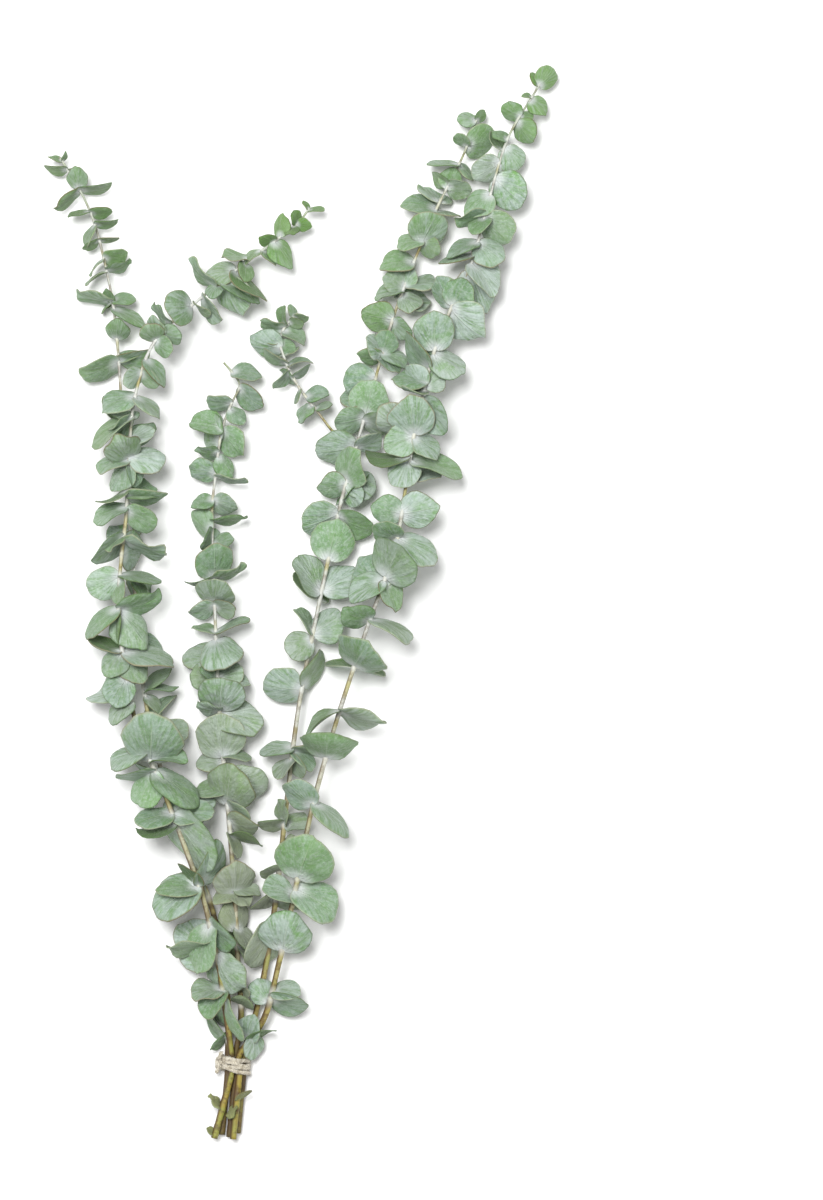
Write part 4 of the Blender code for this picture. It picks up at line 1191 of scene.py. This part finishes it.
class Paint:
    """A new material, the colour that its coats have made so far, and a call for each kind of node."""

    def __init__(self, name):
        self.material = bpy.data.materials.new(name)
        self.material.use_nodes = True
        self.tree = self.material.node_tree
        self.shader = self.tree.nodes["Principled BSDF"]
        self.colour = None

    def feed(self, node, inputs):
        """Gives a node its inputs by name or place: sockets are linked, other values are set."""
        for key, value in inputs.items():
            if isinstance(value, bpy.types.NodeSocket):
                self.tree.links.new(value, node.inputs[key])
            else:
                node.inputs[key].default_value = value

    def node(self, kind, *inputs, output=0, **settings):
        """A new node's output, from its settings and its first inputs."""
        node = self.tree.nodes.new(kind)
        for name, value in settings.items():
            setattr(node, name, value)
        self.feed(node, dict(enumerate(inputs)))
        return node.outputs[output]

    def value(self, name):
        """A value that the mesh holds for each point."""
        return self.node("ShaderNodeAttribute", output="Fac", attribute_name=name)

    def sum_of(self, operation, *inputs):
        """A sum such as ADD or SINE, of numbers and sockets."""
        return self.node("ShaderNodeMath", *inputs, operation=operation)

    def times(self, first, second):
        return self.sum_of("MULTIPLY", first, second)

    def plus(self, first, second, factor):
        """The first value plus the second one times the factor."""
        return self.sum_of("MULTIPLY_ADD", second, factor, first)

    def band(self, value, low, high, start=0.0, end=1.0):
        """A value eased from start to end as it passes from low to high."""
        inputs = (value, low, high, start, end)
        return self.node("ShaderNodeMapRange", *inputs, interpolation_type="SMOOTHSTEP")

    def speckle(self, scale, detail=4.0, roughness=0.6, place=None):
        """A noise value, over the object's own space in cells for each metre if no place is given."""
        node = self.tree.nodes.new("ShaderNodeTexNoise")
        place = place or self.node("ShaderNodeTexCoord", output="Object")
        inputs = {"Vector": place, "Scale": scale, "Detail": detail, "Roughness": roughness}
        self.feed(node, inputs)
        return node.outputs["Fac"]

    def blend(self, share, first, second):
        """A colour between two, each a colour or a socket."""
        node = self.tree.nodes.new("ShaderNodeMix")
        node.data_type = "RGBA"
        first, second = ((*c, 1.0) if isinstance(c, tuple) else c for c in (first, second))
        self.feed(node, {"Factor": share, 6: first, 7: second})
        return node.outputs[2]

    def coat(self, share, strength, colour):
        """Lays a colour over the one so far, by the share times the strength."""
        self.colour = self.blend(self.times(share, strength), self.colour, colour)

    def bump(self, height, distance, strength):
        """Gives the surface relief by a height."""
        node = self.tree.nodes.new("ShaderNodeBump")
        self.feed(node, {"Height": height, "Distance": distance, "Strength": strength})
        self.feed(self.shader, {"Normal": node.outputs["Normal"]})

    def finish(self, **inputs):
        """The material, its shader given the coats' colour and these inputs, with _ for a space."""
        self.feed(self.shader, {"Base Color": self.colour})
        self.feed(self.shader, {name.replace("_", " "): value for name, value in inputs.items()})
        return self.material


def radial_streaks(paint, share, breadth):
    """A noise value in streaks that fan out from the leaf's root."""
    angle = paint.sum_of("ARCTAN2", breadth, paint.sum_of("ADD", share, 0.12))
    far = paint.sum_of("ADD", paint.sum_of("ABSOLUTE", share), 0.05)
    far = paint.times(paint.sum_of("POWER", far, 0.7), 2.2)
    tint = paint.times(paint.value("tint"), 90.0)
    place = paint.node("ShaderNodeCombineXYZ", paint.times(angle, STREAKS), far, tint)
    return paint.speckle(1.0, 5.0, 0.65, place)


def leaf_lines(paint, share, side, streaks):
    """A value along the midrib and, fainter, along the side veins."""
    midrib = paint.band(side, 0.008, 0.035, 1.0, 0.0)
    midrib = paint.times(midrib, paint.band(share, 0.5, 0.95, 1.0, 0.2))
    slant = paint.plus(paint.plus(share, side, -0.8), streaks, 0.22)
    veins = paint.band(paint.sum_of("SINE", paint.times(slant, VEINS)), 0.8, 1.0)
    veins = paint.times(veins, paint.band(side, 0.03, 0.15))
    return paint.sum_of("MAXIMUM", midrib, paint.times(veins, 0.45))


def leaf_material():
    """Waxy grey-green: fresh green under the bloom, whitish at the root, with faint veins, and painted
    shade on the lower faces and on leaves that stand on edge.
    """
    paint = Paint("waxy_leaf")
    share, breadth, ring = paint.value("share"), paint.value("breadth"), paint.value("ring")
    bloom, olive = paint.value("bloom"), paint.times(paint.value("olive"), 0.85)
    side = paint.sum_of("ABSOLUTE", breadth)
    streaks = radial_streaks(paint, share, breadth)
    lines = leaf_lines(paint, share, side, streaks)
    paint.colour = paint.blend(paint.value("tint"), (0.17, 0.275, 0.185), (0.45, 0.535, 0.50))
    paint.coat(paint.band(streaks, 0.45, 0.64), 0.75, (0.12, 0.245, 0.07))
    patches = paint.times(paint.band(paint.speckle(70, 3.0), 0.5, 0.68), bloom)
    paint.coat(patches, 0.85, (0.14, 0.33, 0.065))
    paint.coat(paint.value("fresh"), 0.75, (0.17, 0.335, 0.105))
    powder = paint.band(paint.speckle(420, 5.0, 0.7), 0.44, 0.66)
    paint.coat(powder, 0.3, (0.70, 0.77, 0.76))
    mottle = paint.band(paint.speckle(160), 0.42, 0.62)
    paint.coat(mottle, 0.2, (0.46, 0.54, 0.49))
    # Painted shade: each leaf's lower face is coloured dark green, its own greener side darkened as
    # though always in shadow.
    shaded_underside = paint.sum_of("SUBTRACT", 1.0, paint.value("face"))
    paint.coat(shaded_underside, 0.9, (0.06, 0.125, 0.02))
    paint.coat(paint.value("young"), 0.4, (0.16, 0.30, 0.10))
    limier = paint.band(streaks, 0.3, 0.6, 0.55, 1.0)
    paint.coat(paint.value("tip_green"), limier, (0.125, 0.275, 0.03))
    # Painted shade: leaves that stand on edge, turned from the light overhead, are darkened green.
    darker = paint.band(streaks, 0.35, 0.6, 0.35, 0.85)
    paint.coat(paint.value("steep"), darker, (0.095, 0.19, 0.055))
    paint.coat(paint.value("dull"), 0.62, (0.30, 0.315, 0.215))
    paint.coat(olive, 1.0, (0.27, 0.28, 0.085))
    half_side = paint.times(side, 0.5)
    near = paint.plus(paint.times(share, share), half_side, half_side)
    near = paint.plus(paint.sum_of("SQRT", near), streaks, -0.3)
    wax = paint.band(near, -0.12, 0.2, 1.0, 0.0)
    paint.coat(wax, paint.sum_of("SUBTRACT", 0.85, olive), (0.72, 0.75, 0.76))
    paint.coat(lines, 0.3, (0.50, 0.60, 0.45))
    rim = paint.blend(paint.band(bloom, 0.35, 0.6), (0.36, 0.40, 0.26), (0.07, 0.14, 0.03))
    paint.coat(paint.band(ring, 0.93, 1.0), 0.6, rim)
    blush = paint.times(paint.band(ring, 0.94, 1.0), paint.value("blush"))
    paint.coat(blush, 0.65, (0.20, 0.12, 0.06))
    relief = paint.plus(paint.times(lines, -1.0), paint.speckle(150, 5.0), 4.2)
    paint.bump(paint.plus(relief, streaks, 2.6), 0.0005, 0.9)
    rough = paint.band(paint.speckle(300), 0.3, 0.7, 0.48, 0.7)
    return paint.finish(
        Roughness=rough,
        Specular_IOR_Level=0.35,
        Sheen_Weight=0.12,
        Sheen_Roughness=0.5,
    )


def bark_material():
    """Whitish wax over yellow-olive bark, rubbed off in stretches, with dark brown patches, and painted
    shade on one side of each stem and on the back stems below the tie.
    """
    paint = Paint("stem_bark")
    height = paint.value("bark")
    stem = paint.times(paint.value("stem_tint"), 90.0)
    place = paint.node("ShaderNodeCombineXYZ", paint.times(height, 34.0), stem)
    along = paint.speckle(1.0, 2.0, 0.5, place)
    low = paint.band(height, 0.04, 0.35)
    paint.colour = paint.blend(low, (0.31, 0.245, 0.04), (0.42, 0.38, 0.16))
    waxy = paint.band(along, 0.36, 0.54)
    paint.coat(waxy, paint.band(height, 0.07, 0.5), (0.56, 0.57, 0.54))
    paint.coat(paint.band(height, 0.86, 1.0), 1.0, (0.30, 0.36, 0.24))
    greenish = paint.band(paint.speckle(60, 3.0), 0.45, 0.6)
    paint.coat(greenish, paint.band(height, 0.1, 0.3, 0.75, 0.2), (0.27, 0.30, 0.065))
    streaks = paint.band(paint.speckle(150, 6.0, 0.75), 0.46, 0.57)
    paint.coat(streaks, paint.band(height, 0.06, 0.3, 0.8, 0.5), (0.11, 0.065, 0.025))
    # Painted shade: the side of each stem that faces the shaded flank is darkened dark brown, as though
    # turned from the light.
    flank = paint.band(paint.value("flank"), 0.0, 0.8)
    paint.coat(flank, paint.band(height, 0.08, 0.6, 1.0, 0.45), (0.085, 0.045, 0.015))
    # Painted shade: the back stems are darkened below the tie, where they lie in the gap between the
    # front stems.
    paint.coat(paint.value("foot_shade"), 1.0, (0.075, 0.042, 0.015))
    burnt = paint.times(paint.band(along, 0.40, 0.30), 0.85)
    paint.coat(burnt, paint.band(height, 0.2, 0.75, 1.0, 0.3), (0.05, 0.03, 0.015))
    paint.coat(paint.value("node"), 0.75, (0.62, 0.64, 0.60))
    paint.coat(paint.value("scar"), 0.8, (0.09, 0.05, 0.03))
    paint.bump(paint.speckle(500, 5.0), 0.0004, 0.6)
    return paint.finish(Roughness=0.6)


def cut_material():
    """Pale, freshly cut wood."""
    paint = Paint("cut_wood")
    grain = paint.band(paint.speckle(1200, 3.0), 0.35, 0.65)
    paint.colour = paint.blend(grain, (0.60, 0.50, 0.30), (0.42, 0.32, 0.16))
    return paint.finish(Roughness=0.85)


def twine_material():
    """Beige jute with darker fibres."""
    paint = Paint("jute")
    fibres = paint.band(paint.speckle(1500, 6.0, 0.7), 0.35, 0.65)
    paint.colour = paint.blend(fibres, (0.33, 0.285, 0.2), (0.66, 0.61, 0.50))
    paint.coat(paint.band(paint.speckle(160), 0.4, 0.65), 0.5, (0.74, 0.71, 0.63))
    paint.coat(paint.band(paint.speckle(420), 0.5, 0.62), 0.6, (0.22, 0.18, 0.12))
    paint.bump(paint.speckle(2200, 5.0), 0.0002, 0.8)
    return paint.finish(Roughness=0.95, Sheen_Weight=0.3)


def surface_material():
    """Plain, nearly white."""
    paint = Paint("pale_surface")
    paint.colour = (0.93, 0.93, 0.93, 1.0)
    return paint.finish(Roughness=0.9)


def dress_stems():
    """Fine leaves and stems in place of each leafy stem."""
    axes = [(stem, Axis(stem)) for stem in STEMS]
    turns = [twine_turn(FIRST_TURN + TWINE_PITCH * i) for i in range(TWINE_TURNS)]
    leaves = place_leaves(axes, [*turns, knot_mesh()])
    materials = [leaf_material(), bark_material(), cut_material()]
    for stem, axis in axes:
        if stem is SIDE_SHOOT:
            continue
        bag = Bag()
        own = [tucked(leaf) for leaf in leaves if leaf.stem == stem.name]
        for i, leaf in enumerate(own):
            add_leaf(bag, leaf, random.Random(stem.seed * SEED_STEP + i))
        fine_stem(bag, stem, axis, own, end_slot=2)
        if stem.name == SIDE_SHOOT.name:
            fine_stem(bag, SIDE_SHOOT, axes[STEMS.index(SIDE_SHOOT)][1], own, end_slot=1)
        node = "leafy_stem_" + stem.name
        made = bag.build("leaves_and_stem_" + stem.name, materials)
        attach(made, "root")
        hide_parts(node)


def dress_tie():
    """Three-ply twine with a knot and loose fibres in place of the tie."""
    bag = Bag()
    frames = lay_plies(bag, twine_line())
    for line in knot_line():
        frames += lay_plies(bag, line)
    add_fibres(bag, frames, random.Random(5))
    made = bag.build("jute_twine", [twine_material()])
    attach(made, "root")
    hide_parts("twine_tie")


def set_camera():
    """A camera straight above the middle of the photo's frame."""
    middle = on_plan(PICTURE_SIZE[0] / 2, PICTURE_SIZE[1] / 2) * METRES
    data = bpy.data.cameras.new("camera")
    camera = linked("camera", data)
    camera.location = (middle.x, middle.y, CAMERA_HEIGHT)
    data.sensor_width = 36.0
    long_side = max(PICTURE_SIZE) * PLAN_UNIT * METRES
    data.lens = data.sensor_width * (CAMERA_HEIGHT - AIM_HEIGHT) / long_side
    bpy.context.scene.camera = camera


def add_light(name, place, size, power):
    """A square light that faces the middle of the frame."""
    data = bpy.data.lights.new(name, "AREA")
    data.shape = "SQUARE"
    data.size = size
    data.energy = power
    light = linked(name, data)
    light.location = place
    light.rotation_euler = (-Vector(place)).to_track_quat("-Z", "Y").to_euler()


def set_stage():
    """A plain pale surface under soft light from the upper left."""
    corners = [(x * SURFACE_HALF, y * SURFACE_HALF, -SURFACE_DROP) for x, y in SQUARE]
    data = bpy.data.meshes.new("surface")
    data.from_pydata(corners, [], [(0, 1, 2, 3)])
    data.materials.append(surface_material())
    surface = linked("surface", data)
    for light in LIGHTS:
        add_light(*light)
    world = bpy.data.worlds.new("soft_sky")
    bpy.context.scene.world = world
    world.use_nodes = True
    background = world.node_tree.nodes["Background"]
    background.inputs[0].default_value = (1.0, 1.0, 1.0, 1.0)
    background.inputs[1].default_value = SKY_STRENGTH
    bpy.context.scene.view_settings.view_transform = "Standard"


set_camera()
set_stage()
dress_stems()
dress_tie()
